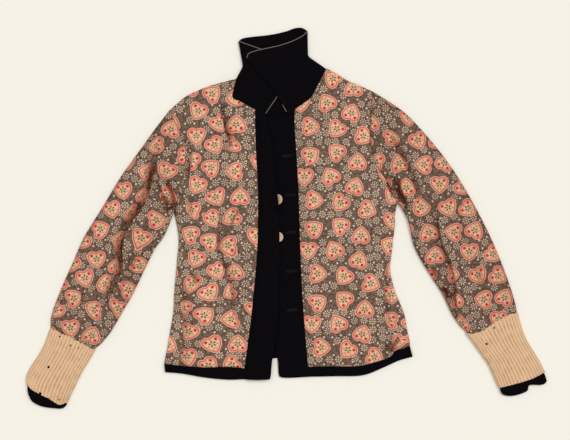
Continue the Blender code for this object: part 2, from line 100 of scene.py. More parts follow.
# Sewn lines, each from the hem upwards or from the body outwards.
SEAMS: dict[str, Points] = {
    "facing_left": ((-83, -300), (-69, -192), (-58, -70), (-56, 0), (-56, 57), (-60, 135), (-62, 217)),
    "facing_right": ((44, -297), (36, -202), (31, -123), (28, -50), (24, 74), (17, 189), (18, 217)),
    "neck_left": ((-62, 217), (-77, 225), (-92, 233), (-107, 241), (-104, 259), (-100, 277)),
    "neck_right": ((18, 217), (34, 228), (48, 239), (59, 256), (71, 279), (80, 298)),
    "side_left": (
        (-243, -291), (-226, -196), (-223, -150), (-218, -92), (-214, -44), (-218, -14), (-224, 14),
    ),
    "side_right": (
        (247, -255), (247, -245), (243, -229), (240, -213), (238, -199), (232, -181), (225, -164),
        (216, -140), (208, -104), (212, -62), (217, -18), (218, 8), (222, 30),
    ),
    "armhole_left": ((-224, 14), (-212, 48), (-204, 96), (-200, 136), (-212, 172), (-233, 215)),
    "armhole_right": ((222, 30), (205, 68), (180, 106), (168, 156), (170, 205), (172, 253)),
    "shoulder_left": ((-233, 215), (-204, 240), (-182, 252), (-152, 264), (-112, 275)),
    "shoulder_right": ((172, 253), (148, 264), (120, 276), (104, 287), (90, 294)),
    "hem_left": ((-83, -300), (-115, -297), (-162, -298), (-207, -295), (-243, -291)),
    "hem_right": (
        (44, -297), (100, -296), (139, -296), (170, -290), (203, -280), (213, -272), (222, -263),
        (233, -261), (247, -255),
    ),
    "hem_back": ((-243, -291), (-130, -268), (-18, -254), (120, -252), (247, -255)),
    "neck_back": ((-100, 277), (-60, 273), (-10, 273), (40, 283), (80, 298)),
    "cuff_left": ((-472, -223), (-456, -229), (-440, -236), (-409, -250), (-381, -264)),
    "cuff_right": ((464, -192), (446, -195), (421, -208), (400, -222), (381, -231), (360, -231)),
}
# Free edges of the wool and the knit.
EDGES: dict[str, Points] = {
    "front_left": (
        (-32, -322), (-30, -312), (-27, -280), (-18, -224), (-14, -164), (-13, -44), (-15, 26),
        (-23, 106), (-28, 146), (-41, 208),
    ),
    "front_right": (
        (-13, -317), (-15, -308), (-17, -280), (-27, -230), (-32, -164), (-33, 0), (-37, 106), (-41, 199),
    ),
    "facing_foot_left": ((-84, -322), (-58, -323), (-32, -322)),
    "facing_foot_right": ((45, -317), (15, -319), (-4, -319), (-13, -317)),
    "facing_top_left": ((-62, 217), (-51, 212), (-41, 208)),
    "facing_top_right": ((18, 217), (-10, 206), (-41, 199)),
    "hem_left": ((-84, -322), (-116, -323), (-160, -319), (-207, -311), (-241, -308)),
    "hem_right": ((45, -317), (100, -316), (154, -314), (196, -298), (225, -285), (253, -277)),
    "hem_back": ((-241, -308), (-130, -292), (-18, -280), (120, -276), (253, -277)),
    "collar_foot_left": ((-41, 208), (-51, 212), (-62, 217)),
    "collar_foot_right": ((1, 212), (9, 214), (18, 217)),
    "collar_waist_left": ((-17, 243), (-40, 257), (-66, 275), (-86, 303)),
    "collar_waist_right": ((-20, 248), (-4, 260), (15, 276), (30, 294), (44, 323)),
    "collar_top_left": ((12, 320), (-18, 328), (-50, 337), (-76, 346), (-95, 353)),
    "collar_top_right": (
        (-78, 318), (-75, 327), (-64, 332), (-44, 337), (-16, 343), (14, 353), (34, 364), (43, 374),
    ),
    "collar_back_waist": ((-86, 303), (-50, 308), (-10, 312), (20, 317), (44, 323)),
    "collar_back_top": ((-95, 353), (-82, 360), (-32, 366), (0, 373), (17, 379), (31, 380), (43, 374)),
    "cuff_left": (
        (-518, -326), (-510, -340), (-492, -351), (-472, -361), (-456, -371), (-448, -372), (-435, -366),
    ),
    "cuff_right": ((517, -307), (492, -320), (468, -328), (446, -334), (425, -339)),
    "sleeve_end_left": (
        (-515, -350), (-507, -366), (-488, -376), (-462, -380), (-446, -380), (-437, -372),
    ),
    "sleeve_end_right": (
        (521, -326), (512, -333), (486, -334), (481, -346), (454, -355), (434, -353), (427, -342),
    ),
}
# Sections of the tubes, from the body to the hand.
TUBES: dict[str, tuple[Section, ...]] = {
    "sleeve_left": (
        Section(-233, 215, -224, 14), Section(-262, 177, -229, -2), Section(-290, 138, -236, -20),
        Section(-330, 82, -246, -40), Section(-366, 22, -262, -62), Section(-402, -36, -284, -106),
        Section(-427, -92, -306, -152), Section(-450, -144, -328, -190), Section(-467, -190, -352, -230),
        Section(-472, -223, -381, -264),
    ),
    "sleeve_right": (
        Section(172, 253, 222, 30), Section(208, 231, 232, 18), Section(244, 204, 244, -6),
        Section(288, 156, 249, -28), Section(330, 102, 256, -56), Section(366, 44, 272, -88),
        Section(400, -20, 292, -120), Section(425, -76, 313, -153), Section(446, -132, 334, -196),
        Section(464, -192, 360, -231),
    ),
    "cuff_left": (
        Section(-472, -223, -381, -264), Section(-480, -246, -393, -285), Section(-492, -270, -406, -306),
        Section(-508, -294, -416, -326), Section(-518, -314, -425, -345), Section(-518, -326, -435, -366),
    ),
    "cuff_right": (
        Section(464, -192, 360, -231), Section(470, -216, 376, -252), Section(479, -240, 390, -272),
        Section(493, -264, 404, -292), Section(506, -285, 414, -314), Section(517, -307, 425, -339),
    ),
    "sleeve_end_left": (
        Section(-474, -240, -398, -276), Section(-488, -274, -414, -308), Section(-504, -306, -428, -336),
        Section(-517, -334, -440, -361), Section(-517, -350, -438, -372),
    ),
    "sleeve_end_right": (
        Section(462, -208, 378, -243), Section(474, -244, 396, -276), Section(492, -276, 414, -304),
        Section(514, -307, 427, -334), Section(521, -326, 427, -342),
    ),
}


def ease(value: Array) -> Array:
    """Smooth step from 0 to 1."""
    share = np.clip(value, 0, 1)
    return share * share * (3 - 2 * share)


def spread(count: int, crowding: float = 0.65) -> Array:
    """Stations from 0 to 1, crowded towards both ends so that rolled edges stay smooth."""
    even = np.linspace(0, 1, count)
    return (1 - crowding) * even + crowding * (1 - np.cos(math.pi * even)) / 2


def span(vectors: Array) -> Array:
    """Length of each vector."""
    return np.linalg.norm(vectors, axis=-1)


def unit(vectors: Array) -> Array:
    """The vectors, each at a length of 1."""
    return vectors / np.linalg.norm(vectors, axis=-1, keepdims=True)


def travelled(path: Array) -> Array:
    """Length along a path at each of its points, from 0."""
    return np.concatenate(((0,), np.cumsum(span(np.diff(path, axis=0)))))


def curve(points: Points, at: Array) -> Array:
    """Read points off a smooth line.

    Args:
        points: the line's own points, in mm.
        at: shares of the line's length, from 0 to 1.

    Returns:
        One point for each share.
    """
    knots = np.asarray(points, float)
    dense = knots
    if len(knots) > 2:
        padded = np.vstack((knots[:1], knots, knots[-1:]))
        heading = (padded[2:] - padded[:-2]) / 2
        share = np.linspace(0, 1, CURVE_STEPS, endpoint=False)[:, None]
        runs = []
        for k, chord in enumerate(np.diff(knots, axis=0)):
            bend = (1 - share) * (heading[k] - chord) - share * (heading[k + 1] - chord)
            runs.append(knots[k] + share * chord + share * (1 - share) * bend)
        dense = np.vstack(runs + [knots[-1:]])
    along = travelled(dense)
    want = np.asarray(at) * along[-1]
    return np.stack([np.interp(want, along, dense[:, axis]) for axis in range(dense.shape[1])], axis=-1)


def chain(at: Array, *runs: tuple[Points, float]) -> Array:
    """Read points off lines joined end to end.

    Args:
        at: shares of the whole chain, from 0 to 1.
        runs: each line with its share of the stations.

    Returns:
        One point for each share.
    """
    total = sum(share for _, share in runs)
    found = np.empty((len(at), 2))
    start, slack = 0.0, 1e-9
    for points, share in runs:
        end = start + share / total
        here = (at >= start - slack) & (at <= end + slack)
        found[here] = curve(points, (at[here] - start) / (end - start))
        start = end
    return found


def ruled(first: Array, last: Array, across: Array, bottom: Points = (), top: Points = ()) -> Array:
    """Fill the space between two lines, with shaped ends.

    Args:
        first: the line at the first column, one point for each row.
        last: the line at the last column.
        across: the columns' stations, from 0 to 1.
        bottom: the line that the first row follows, straight if there is none.
        top: the line that the last row follows.

    Returns:
        Plan points as rows, columns and x, y.
    """
    share = across[None, :, None]
    grid = first[:, None] * (1 - share) + last[:, None] * share
    up = np.linspace(0, 1, len(first))[:, None, None]
    for row, points, weight in ((0, bottom, (1 - up) ** END_POWER), (-1, top, up**END_POWER)):
        if len(points):
            grid = grid + weight * (curve(points, across) - grid[row])
    return grid


class Nearest(NamedTuple):
    """How plan points lie to a line: signed distance (mm), share along it, its normal and its length."""

    gap: Array
    share: Array
    normal: Array
    length: float

    @property
    def along(self) -> Array:
        """Length along the line to the nearest spot, in mm."""
        return self.share * self.length


def nearest(plan: Array, line: Points) -> Nearest:
    """Measure each plan point from the nearest spot of a smooth line.

    Args:
        plan: points as rows, columns and x, y.
        line: the line's own points.

    Returns:
        The measures; gaps are positive on the left of the line's direction.
    """
    path = curve(line, np.linspace(0, 1, MEASURE_STEPS * len(line)))
    start, run = path[:-1], np.diff(path, axis=0)
    offset = plan[..., None, :] - start
    along = np.clip((offset * run).sum(-1) / (run**2).sum(-1), 0, 1)
    away = offset - along[..., None] * run
    distance = np.hypot(away[..., 0], away[..., 1])
    index = distance.argmin(-1)
    pick = index[..., None]
    normal = unit(run[index][..., ::-1] * (-1, 1))
    gap = np.take_along_axis(distance, pick, -1)[..., 0]
    beside = (np.take_along_axis(offset, pick[..., None], -2)[..., 0, :] * normal).sum(-1)
    share = (index + np.take_along_axis(along, pick, -1)[..., 0]) / len(run)
    return Nearest(gap * np.sign(beside), share, normal, float(span(run).sum()))


class Fold:
    """Anything that lifts or lowers cloth: it adds height, and may take cloth in and have shade painted along
    it.
    """

    def lay(self, plan: Array) -> Array:
        """Height added over a grid of plan points, in mm."""
        raise NotImplementedError

    def taken(self, plan: Array) -> Array:
        """Shift of the cloth's own pattern over a grid of plan points; most folds take none in."""
        return np.zeros(plan.shape)

    def dirt(self, plan: Array) -> Array:
        """Shade painted along the fold, from 0 to 1; most folds have none."""
        return np.zeros(plan.shape[:2])


@dataclass(frozen=True)
class Crease(Fold):
    """A soft fold, placed along a plan line.

    A plain fold is a ridge, or a trough where its rise is negative. A tuck lifts on the left of its line,
    drops at it, and takes cloth in there, so that the print is cut on its right.
    """

    line: Points
    width: float
    rise: float
    tuck: float = 0.0
    shade: float = 0.0
    # Share of the line over which each end fades, how far (mm) the print is moved beside a tuck, and how
    # deep its right side dips, as a share of the rise.
    ending: ClassVar[float] = 0.22
    reach: ClassVar[float] = 70.0
    dip: ClassVar[float] = 0.8

    def fade(self, near: Nearest) -> Array:
        """Share of the fold's depth along its line: none at its two ends."""
        return ease(near.share / self.ending) * ease((1 - near.share) / self.ending)

    def uneven(self, near: Nearest, depth: float, wave: float, phase: float) -> Array:
        """Factor that wavers about 1 along the line, with a wave in mm to a radian."""
        return 1 + depth * np.sin(near.along / wave + phase)

    def lay(self, plan: Array) -> Array:
        """Lift a ridge, or the left side of a tuck.

        Args:
            plan: points as rows, columns and x, y.

        Returns:
            Height added at each point, in mm.
        """
        near = nearest(plan, self.line)
        uneven = self.uneven(near, depth=0.32, wave=17, phase=self.line[0][0])
        distance = np.abs(near.gap) / self.width
        shape = np.exp(-(distance**2))
        if self.tuck:
            shape = np.where(near.gap > 0, np.exp(-distance / 2), -self.dip * np.exp(-distance))
        return self.rise * uneven * self.fade(near) * shape

    def taken(self, plan: Array) -> Array:
        """Take cloth in on the right of a tuck, less and less over the reach.

        Args:
            plan: points as rows, columns and x, y.

        Returns:
            Shift of the cloth's own pattern at each point, in mm.
        """
        near = nearest(plan, self.line)
        drawn = (near.gap < 0) * np.exp(-((near.gap / self.reach) ** 2))
        return -(self.tuck * self.fade(near) * drawn)[..., None] * near.normal

    def dirt(self, plan: Array) -> Array:
        """Paint shade in a trough, or on the right of a tuck, where the cloth dips under the lifted side.

        Args:
            plan: points as rows, columns and x, y.

        Returns:
            Painted shade at each point, from 0 to about 1.
        """
        near = nearest(plan, self.line)
        side = np.where(near.gap > 0, 2.0, 1.4 * self.width) if self.tuck else self.width
        uneven = self.uneven(near, depth=0.25, wave=11, phase=self.line[0][1])
        return self.shade * uneven * self.fade(near) * np.exp(-((near.gap / side) ** 2))


@dataclass(frozen=True)
class Valley(Crease):
    """A broad fold: the cloth stands up on the left of its line and dips, crowded, on the right."""

    # Share of the dip's width where its floor lies, and how far (mm) the raised side runs out.
    floor: ClassVar[float] = 0.85
    shoulder: ClassVar[float] = 16.0
    reach: ClassVar[float] = 90.0

    def across(self, near: Nearest) -> Array:
        """Share of the dip's width, from 0 at the line to 1 at its far side."""
        return np.clip(-near.gap / self.width, 0, 1)

    def lay(self, plan: Array) -> Array:
        """Lift the left side, and let the right side dip and come up again.

        Args:
            plan: points as rows, columns and x, y.

        Returns:
            Height added at each point, in mm.
        """
        near = nearest(plan, self.line)
        share = self.across(near)
        back_up = ease((share - self.floor) / (1 - self.floor))
        profile = 1 - (1 + self.dip) * ease(share / self.floor) + self.dip * back_up
        return self.rise * self.fade(near) * profile * np.exp(-np.clip(near.gap, 0, None) / self.shoulder)

    def taken(self, plan: Array) -> Array:
        """Take cloth in, more and more across the dip, and less and less over the reach.

        Args:
            plan: points as rows, columns and x, y.

        Returns:
            Shift of the cloth's own pattern at each point, in mm.
        """
        near = nearest(plan, self.line)
        beyond = np.clip(-near.gap - self.width, 0, None)
        drawn = self.tuck * self.fade(near) * ease(self.across(near)) * np.exp(-((beyond / self.reach) ** 2))
        return -drawn[..., None] * near.normal

    def dirt(self, plan: Array) -> Array:
        """Paint shade down the slope of the dip, darkest at its floor.

        Args:
            plan: points as rows, columns and x, y.

        Returns:
            Painted shade at each point, from 0 to about 1.
        """
        near = nearest(plan, self.line)
        share = self.across(near)
        uneven = 0.8 * self.uneven(near, depth=0.25, wave=14, phase=self.line[0][1])
        slope = 0.35 * ease(share / 0.15) + 0.65 * ease(share / self.floor)
        return self.shade * uneven * self.fade(near) * slope * (1 - ease((share - 0.9) / 0.1))


@dataclass(frozen=True)
class Pucker(Fold):
    """Short gathers square to a seam, strongest at its stitches."""

    line: Points
    wave: float
    reach: float
    rise: float
    shade: float = 0.0
    # Lengths (mm) over which the rhythm drifts and the gathers swell.
    drift: ClassVar[float] = 41.0
    swell: ClassVar[float] = 23.0

    def beat(self, plan: Array) -> Array:
        """Read the gathers' rhythm.

        Args:
            plan: points as rows, columns and x, y.

        Returns:
            Its beat at each point, from -1 in a furrow to 1 on a ridge.
        """
        near = nearest(plan, self.line)
        rhythm = np.sin(2 * math.pi * near.along / self.wave + 2.2 * np.sin(near.along / self.drift))
        strength = 0.6 + 0.4 * np.sin(near.along / self.swell)
        return rhythm * strength * np.exp(-np.abs(near.gap) / self.reach)

    def lay(self, plan: Array) -> Array:
        """Height added by the gathers over a grid of plan points, in mm."""
        return self.rise * self.beat(plan)

    def dirt(self, plan: Array) -> Array:
        """Painted shade in the gathers' furrows."""
        return self.shade * np.clip(-self.beat(plan), 0, 1)


@dataclass(frozen=True)
class Ripple(Fold):
    """The lazy unevenness of cloth that has been worn: a few crossing waves."""

    wave: float
    rise: float
    seed: int
    waves: ClassVar[int] = 9

    def lay(self, plan: Array) -> Array:
        """Add up the waves.

        Args:
            plan: points as rows, columns and x, y.

        Returns:
            Height added at each point, in mm.
        """
        draw = np.random.default_rng(self.seed)
        total = np.zeros(plan.shape[:2])
        least, most = (0, 0, 0.7), (math.pi, 2 * math.pi, 1.5)
        for heading, phase, scale in draw.uniform(least, most, (self.waves, 3)):
            across = plan[..., 0] * math.cos(heading) + plan[..., 1] * math.sin(heading)
            total += np.sin(2 * math.pi * across / (self.wave * scale) + phase)
        return self.rise * total / math.sqrt(self.waves)


def rolled(distance: Array, radius: float) -> Array:
    """Share of the full height at a distance (mm) from an edge that rolls over with a radius."""
    return np.sqrt(np.clip(1 - (1 - np.clip(distance / radius, 0, 1)) ** 2, 0, 1))


def mid_height(shape: bmesh.types.BMesh) -> float:
    """Mean height of a mesh's points, in metres."""
    return sum(vert.co.z for vert in shape.verts) / len(shape.verts)


def put_in_scene(name: str, data: bpy.types.ID) -> bpy.types.Object:
    """Make an object and put it in the scene.

    Args:
        name: the object's name.
        data: a mesh, a light or a camera.

    Returns:
        The new object.
    """
    thing = bpy.data.objects.new(name, data)
    bpy.context.scene.collection.objects.link(thing)
    return thing


@dataclass
class Cloth:
    """One piece of cloth as a grid, in mm: where it lies, how it was cut and, if apart, how it was printed.

    A hole is given as x, y and radius. Its tone and shade is how far each point is darkened, from 0 to 1: an
    even tone, wear, and painted shade and light in folds and along edges.
    """

    name: str
    place: Array
    cut: Array
    wall: float
    tube: bool = False
    face_up: bool = True
    plain_rim: bool = False
    holes: Points = ()
    soil: Array | None = None
    printed: Array | None = None

    def charted(self) -> bpy.types.Mesh:
        """Make the cloth's grid.

        Returns:
            A mesh that carries its chart and its tone and painted shade.
        """
        rows, columns = self.place.shape[:2]
        shape = bmesh.new()
        bmesh.ops.create_grid(shape, x_segments=columns - 1, y_segments=rows - 1, size=1)
        mesh = bpy.data.meshes.new(self.name)
        shape.to_mesh(mesh)
        shape.free()
        spots = self.place.reshape(-1, 3).copy()
        spots[:, :2] -= PLAN_ORIGIN
        mesh.vertices.foreach_set("co", (spots * MM).ravel())
        corner = np.empty(len(mesh.loops), np.int32)
        mesh.loops.foreach_get("vertex_index", corner)
        chart = mesh.uv_layers.new(name="cut")
        laid = self.cut if self.printed is None else self.printed
        chart.data.foreach_set("uv", (laid.reshape(-1, 2)[corner] * MM).ravel())
        if self.soil is not None:
            # The attribute holds each point's even tone, wear, and painted shade and light.
            worn = mesh.attributes.new("soil", "FLOAT", "POINT")
            worn.data.foreach_set("value", np.ascontiguousarray(self.soil, np.float32).ravel())
        return mesh

    def build(
        self, face: bpy.types.Material, inside: bpy.types.Material, slot: Slot, *nodes: str
    ) -> bpy.types.Object:
        """Make the cloth's shell and let it ride on the jacket.

        Args:
            face: the finish of its outer face.
            inside: the finish of its other face.
            slot: the record's slot that the finish belongs to.
            nodes: names of the solids that it replaces.

        Returns:
            The finished object.
        """
        mesh = self.charted()
        shape = bmesh.new()
        shape.from_mesh(mesh)
        if self.tube:
            bmesh.ops.remove_doubles(shape, verts=shape.verts, dist=WELD)
        self.open_holes(shape)
        self.turn_out(shape)
        shape.to_mesh(mesh)
        shape.free()
        mesh.shade_smooth()
        mesh.materials.append(face)
        mesh.materials.append(inside)
        piece = put_in_scene(self.name, mesh)
        if self.wall:
            shell = piece.modifiers.new("wall", "SOLIDIFY")
            shell.thickness = self.wall * MM
            shell.offset = -1
            shell.material_offset = 1
            shell.material_offset_rim = 0 if self.plain_rim else 1
        return settle(piece, slot, *nodes)

    def open_holes(self, shape: bmesh.types.BMesh) -> None:
        """Take out the upper faces inside each hole.

        Args:
            shape: the cloth's mesh.
        """
        for x, y, radius in self.holes:
            spot = Vector(((x - PLAN_ORIGIN[0]) * MM, (y - PLAN_ORIGIN[1]) * MM))
            middle = mid_height(shape)
            lost = []
            for face in shape.faces:
                centre = face.calc_center_median()
                if centre.z > middle and (centre.xy - spot).length < radius * MM:
                    lost.append(face)
            bmesh.ops.delete(shape, geom=lost, context="FACES")

    def turn_out(self, shape: bmesh.types.BMesh) -> None:
        """Turn the faces so that the cloth's upper side, or a panel's underside, points outwards.

        Args:
            shape: the cloth's mesh.
        """
        shape.normal_update()
        middle = mid_height(shape)
        upper = [face for face in shape.faces if face.calc_center_median().z >= middle]
        lean = sum(face.normal.z * face.calc_area() for face in upper)
        if (lean > 0) != self.face_up:
            bmesh.ops.reverse_faces(shape, faces=shape.faces)

    def declare(self, piece: bpy.types.Object, rests_on: Sequence[str], trims: Sequence = ()) -> None:
        """Do nothing with the piece: the sheet's cut, its flat box and the area inside it are not stated.

        Args:
            piece: the finished object; not used.
            rests_on: names of what the cloth lies on; not used.
            trims: pieces sewn on it; not used.
        """


def settle(piece: bpy.types.Object, slot: Slot, *nodes: str) -> bpy.types.Object:
    """Let a piece ride on the jacket, and hide the solids that it stands for.

    Args:
        piece: the finished object.
        slot: the record's slot of its finish; not used.
        nodes: names of the solids that it replaces.

    Returns:
        The same object.
    """
    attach(piece, BODY)
    if nodes:
        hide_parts(*nodes)
    log.info("%s: %d faces", piece.name, len(piece.data.polygons))
    return piece


def linear(colour: str) -> tuple[float, float, float, float]:
    """Turn an sRGB hex colour into linear light."""
    parts = [int(colour[k : k + 2], 16) / 255 for k in (1, 3, 5)]
    return (*(c / 12.92 if c <= 0.04045 else ((c + 0.055) / 1.055) ** 2.4 for c in parts), 1.0)


def add_node(tree: bpy.types.NodeTree, kind: str, inputs: dict, **settings: object) -> bpy.types.Node:
    """Add one node with its settings and links.

    Args:
        tree: the material's node tree.
        kind: the node's type, without its ShaderNode prefix.
        inputs: a value or another node's output for each input, by name or number.
        settings: the node's own options.

    Returns:
        The new node.
    """
    node = tree.nodes.new("ShaderNode" + kind)
    for option, value in settings.items():
        setattr(node, option, value)
    for socket, value in inputs.items():
        if isinstance(value, bpy.types.NodeSocket):
            tree.links.new(value, node.inputs[socket])
        else:
            node.inputs[socket].default_value = value
    return node


class Formula:
    """Named values that nodes work out from a cloth's own pattern coordinates, u and v in mm.

    Steps are lines of a result's name, an operation and what it works on, which are earlier names or
    numbers. Beside the plain sums, SPOT joins two values to a point, DISTANCE measures a point from x, y,
    ELLIPSE is 1 on an ellipse at x, y with a turn and two half sizes, INSIDE is 1 where a value is under a
    limit, with an edge that is soft over 1 / sharpness, CHART looks a whole number up in a short table, and
    CHANCE draws a number for a point and a seed.
    """

    def __init__(self, tree: bpy.types.NodeTree) -> None:
        """Start with u and v, read from the cut chart in mm.

        Args:
            tree: the material's node tree.
        """
        self.tree = tree
        chart = add_node(tree, "UVMap", {}, uv_map="cut").outputs[0]
        self.place = add_node(tree, "VectorMath", {0: chart, 3: 1 / MM}, operation="SCALE").outputs[0]
        parts = add_node(tree, "SeparateXYZ", {0: self.place}).outputs
        self.values = {"u": parts[0], "v": parts[1]}

    def run(self, steps: str) -> None:
        """Work steps out in order.

        Args:
            steps: one step to a line.
        """
        for line in filter(str.strip, steps.splitlines()):
            result, operation, *words = line.split()
            terms = [self.values.get(word) or float(word) for word in words]
            self.values[result] = self.step(operation, terms)

    def step(self, operation: str, terms: list) -> bpy.types.NodeSocket:
        """Add the nodes of one step.

        Args:
            operation: the step's operation.
            terms: what it works on, as outputs or numbers.

        Returns:
            The output that holds its result.
        """
        if operation == "SPOT":
            return add_node(self.tree, "CombineXYZ", dict(enumerate(terms))).outputs[0]
        if operation == "DISTANCE":
            inputs = {0: terms[0], 1: (*terms[1:], 0)}
            return add_node(self.tree, "VectorMath", inputs, operation="DISTANCE").outputs[1]
        if operation == "ELLIPSE":
            spot, x, y, turn, length, width = terms
            inputs = {0: spot, 1: (x, y, 0), 2: (0, 0, turn), 3: (length, width, 1)}
            mapped = add_node(self.tree, "Mapping", inputs, vector_type="TEXTURE").outputs[0]
            return add_node(self.tree, "VectorMath", {0: mapped}, operation="LENGTH").outputs[1]
        if operation == "CHANCE":
            inputs = {"Vector": terms[0], "W": terms[1]}
            return add_node(self.tree, "TexWhiteNoise", inputs, noise_dimensions="4D").outputs[0]
        if operation == "INSIDE":
            value, limit, sharpness = terms
            inputs = {0: value, 1: -sharpness, 2: 0.5 + sharpness * limit}
            return add_node(self.tree, "Math", inputs, operation="MULTIPLY_ADD", use_clamp=True).outputs[0]
        if operation == "CHART":
            return self.chart(*terms)
        return add_node(self.tree, "Math", dict(enumerate(terms)), operation=operation).outputs[0]

    def chart(self, index: bpy.types.NodeSocket, *entries: float) -> bpy.types.NodeSocket:
        """Look a whole number up in a short table.

        Args:
            index: the number, from 0.
            entries: the table, none of them negative.

        Returns:
            The output that holds the entry.
        """
        share = add_node(self.tree, "Math", {0: index, 1: 0.5}, operation="ADD").outputs[0]
        share = add_node(self.tree, "Math", {0: share, 1: len(entries)}, operation="DIVIDE").outputs[0]
        table = add_node(self.tree, "ValToRGB", {0: share})
        table.color_ramp.interpolation = "CONSTANT"
        stops = table.color_ramp.elements
        for number, entry in enumerate(entries):
            stop = stops.new(number / len(entries)) if number else stops[0]
            stop.color = (entry, entry, entry, 1)
        stops.remove(stops[-1])
        return table.outputs[0]

    def noise(self, size: float, detail: float = 2.0) -> bpy.types.NodeSocket:
        """Soft noise from 0 to 1 with patches of about a size, in mm."""
        inputs = {"Vector": self.place, "Scale": 1 / size, "Detail": detail}
        return add_node(self.tree, "TexNoise", inputs, noise_dimensions="2D").outputs[0]

    def layer(self, under: object, over: object, mask: bpy.types.NodeSocket) -> bpy.types.NodeSocket:
        """Lay one colour over another where a mask is 1; colours are hex values or outputs."""
        under, over = (linear(colour) if isinstance(colour, str) else colour for colour in (under, over))
        return add_node(self.tree, "Mix", {0: mask, 6: under, 7: over}, data_type="RGBA").outputs[2]


@dataclass(frozen=True)
class Finish:
    """What every finish shares: its name and how its surface takes the light."""

    name: str
    roughness: float
    specular: float = 0.25
    sheen: float = 0.0
    sheen_roughness: float = 0.5

    def start(self) -> tuple[bpy.types.Material, Formula, bpy.types.Node]:
        """Make the material with its shader.

        Returns:
            The material, a formula on its tree and the shader node.
        """
        material = bpy.data.materials.new(self.name)
        material.use_nodes = True
        shader = material.node_tree.nodes["Principled BSDF"]
        shader.inputs["Roughness"].default_value = self.roughness
        shader.inputs["Specular IOR Level"].default_value = self.specular
        shader.inputs["Sheen Weight"].default_value = self.sheen
        shader.inputs["Sheen Roughness"].default_value = self.sheen_roughness
        return material, Formula(material.node_tree), shader

    def dress(
        self, formula: Formula, shader: bpy.types.Node, colour: bpy.types.NodeSocket,
        height: bpy.types.NodeSocket | None = None, depth: float = 0.0,
    ) -> None:
        """Give the surface its colour and, if there is one, a fine relief.

        Args:
            formula: the formula on the material's tree.
            shader: the shader node.
            colour: the colour.
            height: the relief, from 0 to 1.
            depth: its depth, in mm.
        """
        formula.tree.links.new(colour, shader.inputs["Base Color"])
        if height is not None:
            relief = {"Height": height, "Distance": depth * MM, "Strength": 1.0}
            bump = add_node(formula.tree, "Bump", relief)
            formula.tree.links.new(bump.outputs[0], shader.inputs["Normal"])


class HeartLot(NamedTuple):
    """Every second column of hearts, charted over one repeat of three columns and three rows.

    The chart gives how low each column stands, and for each heart, from the lowest row, how far it is to
    the left and down, all in mm from a common start, and its turn in radians.
    """

    name: str
    start: float
    low: str
    left: str
    down: str
    turn: str


HEART_LOTS: tuple[HeartLot, ...] = (
    HeartLot("even", 0.25, "6.8 29.3 20.8", "14 9.1 14.4 30.9 31.3 28.6 16.3 23.9 22.7",
             "2.8 4.8 10.9 4.1 6.5 1.6 11.1 6.7 5.5", "1.45 1.15 0.47 6.23 2.79 2.3 2.08 3.05 0.56"),
    HeartLot("odd", -0.25, "8.9 2.6 21.7", "11.8 5.6 19.1 28.6 18.1 32.1 14.3 8.9 30.5",
             "8.5 5.5 8.8 4 6.1 7.8 5.5 6.4 1.5", "5.58 5.9 3.14 3.58 4.17 4.78 3.93 6.28 5.32"),
)
# Where a point lies from the nearest heart of one lot: columns 100 mm apart, with a heart every 49 mm.
HEART_PLACE_STEPS = """
{at}_pairs MULTIPLY_ADD {u} 0.01 {start}
{at}_pair FLOOR {at}_pairs
{at}_third FLOORED_MODULO {at}_pair 3
{at}_low CHART {at}_third {low}
{at}_lifted ADD {v} {at}_low
{at}_rows MULTIPLY_ADD {at}_lifted 0.020408 -0.30612
{at}_row FLOOR {at}_rows
{at}_row_third FLOORED_MODULO {at}_row 3
{at}_number MULTIPLY_ADD {at}_row_third 3 {at}_third
{at}_left CHART {at}_number {left}
{at}_down CHART {at}_number {down}
{at}_x_cell SUBTRACT {at}_pairs {at}_pair
{at}_x_mid MULTIPLY_ADD {at}_x_cell 100 -70
{at}_x ADD {at}_x_mid {at}_left
{at}_y_cell SUBTRACT {at}_rows {at}_row
{at}_y_mid MULTIPLY_ADD {at}_y_cell 49 -30.5
{at}_y ADD {at}_y_mid {at}_down
{at}_spot SPOT {at}_x {at}_y
{at}_far DISTANCE {at}_spot 0 0
"""
HEART_TURN_STEP = "{at}_turn CHART {at}_number {turn}"
# The nearer heart of the two lots, upright, as the distance from its edge: two lobe circles and two flanks.
HEART_STEPS = """
is_odd LESS_THAN here_odd_far here_even_far
x_step SUBTRACT here_odd_x here_even_x
x MULTIPLY_ADD x_step is_odd here_even_x
y_step SUBTRACT here_odd_y here_even_y
y MULTIPLY_ADD y_step is_odd here_even_y
turn_step SUBTRACT here_odd_turn here_even_turn
angle MULTIPLY_ADD turn_step is_odd here_even_turn
cosine COSINE angle
sine SINE angle
back_sine MULTIPLY sine -1
x_part MULTIPLY x cosine
across MULTIPLY_ADD y sine x_part
y_part MULTIPLY y cosine
up MULTIPLY_ADD x back_sine y_part
half ABSOLUTE across
spot SPOT half up
lobe_far DISTANCE spot 7.7 5.2
lobe SUBTRACT lobe_far 11.3
flank_far DISTANCE spot -14.6 11.9
flank SUBTRACT flank_far 34.6
cleft_far DISTANCE spot 0 13.47
cleft MULTIPLY cleft_far -1
lower MAXIMUM flank cleft
above_flank MULTIPLY_ADD half 0.3004 up
over_flank SUBTRACT above_flank 7.513
above_cleft MULTIPLY_ADD half 1.074 up
over_cleft SUBTRACT above_cleft 13.47
over MINIMUM over_flank over_cleft
is_lower LESS_THAN over 0
step SUBTRACT lower lobe
edge MULTIPLY_ADD step is_lower lobe
"""
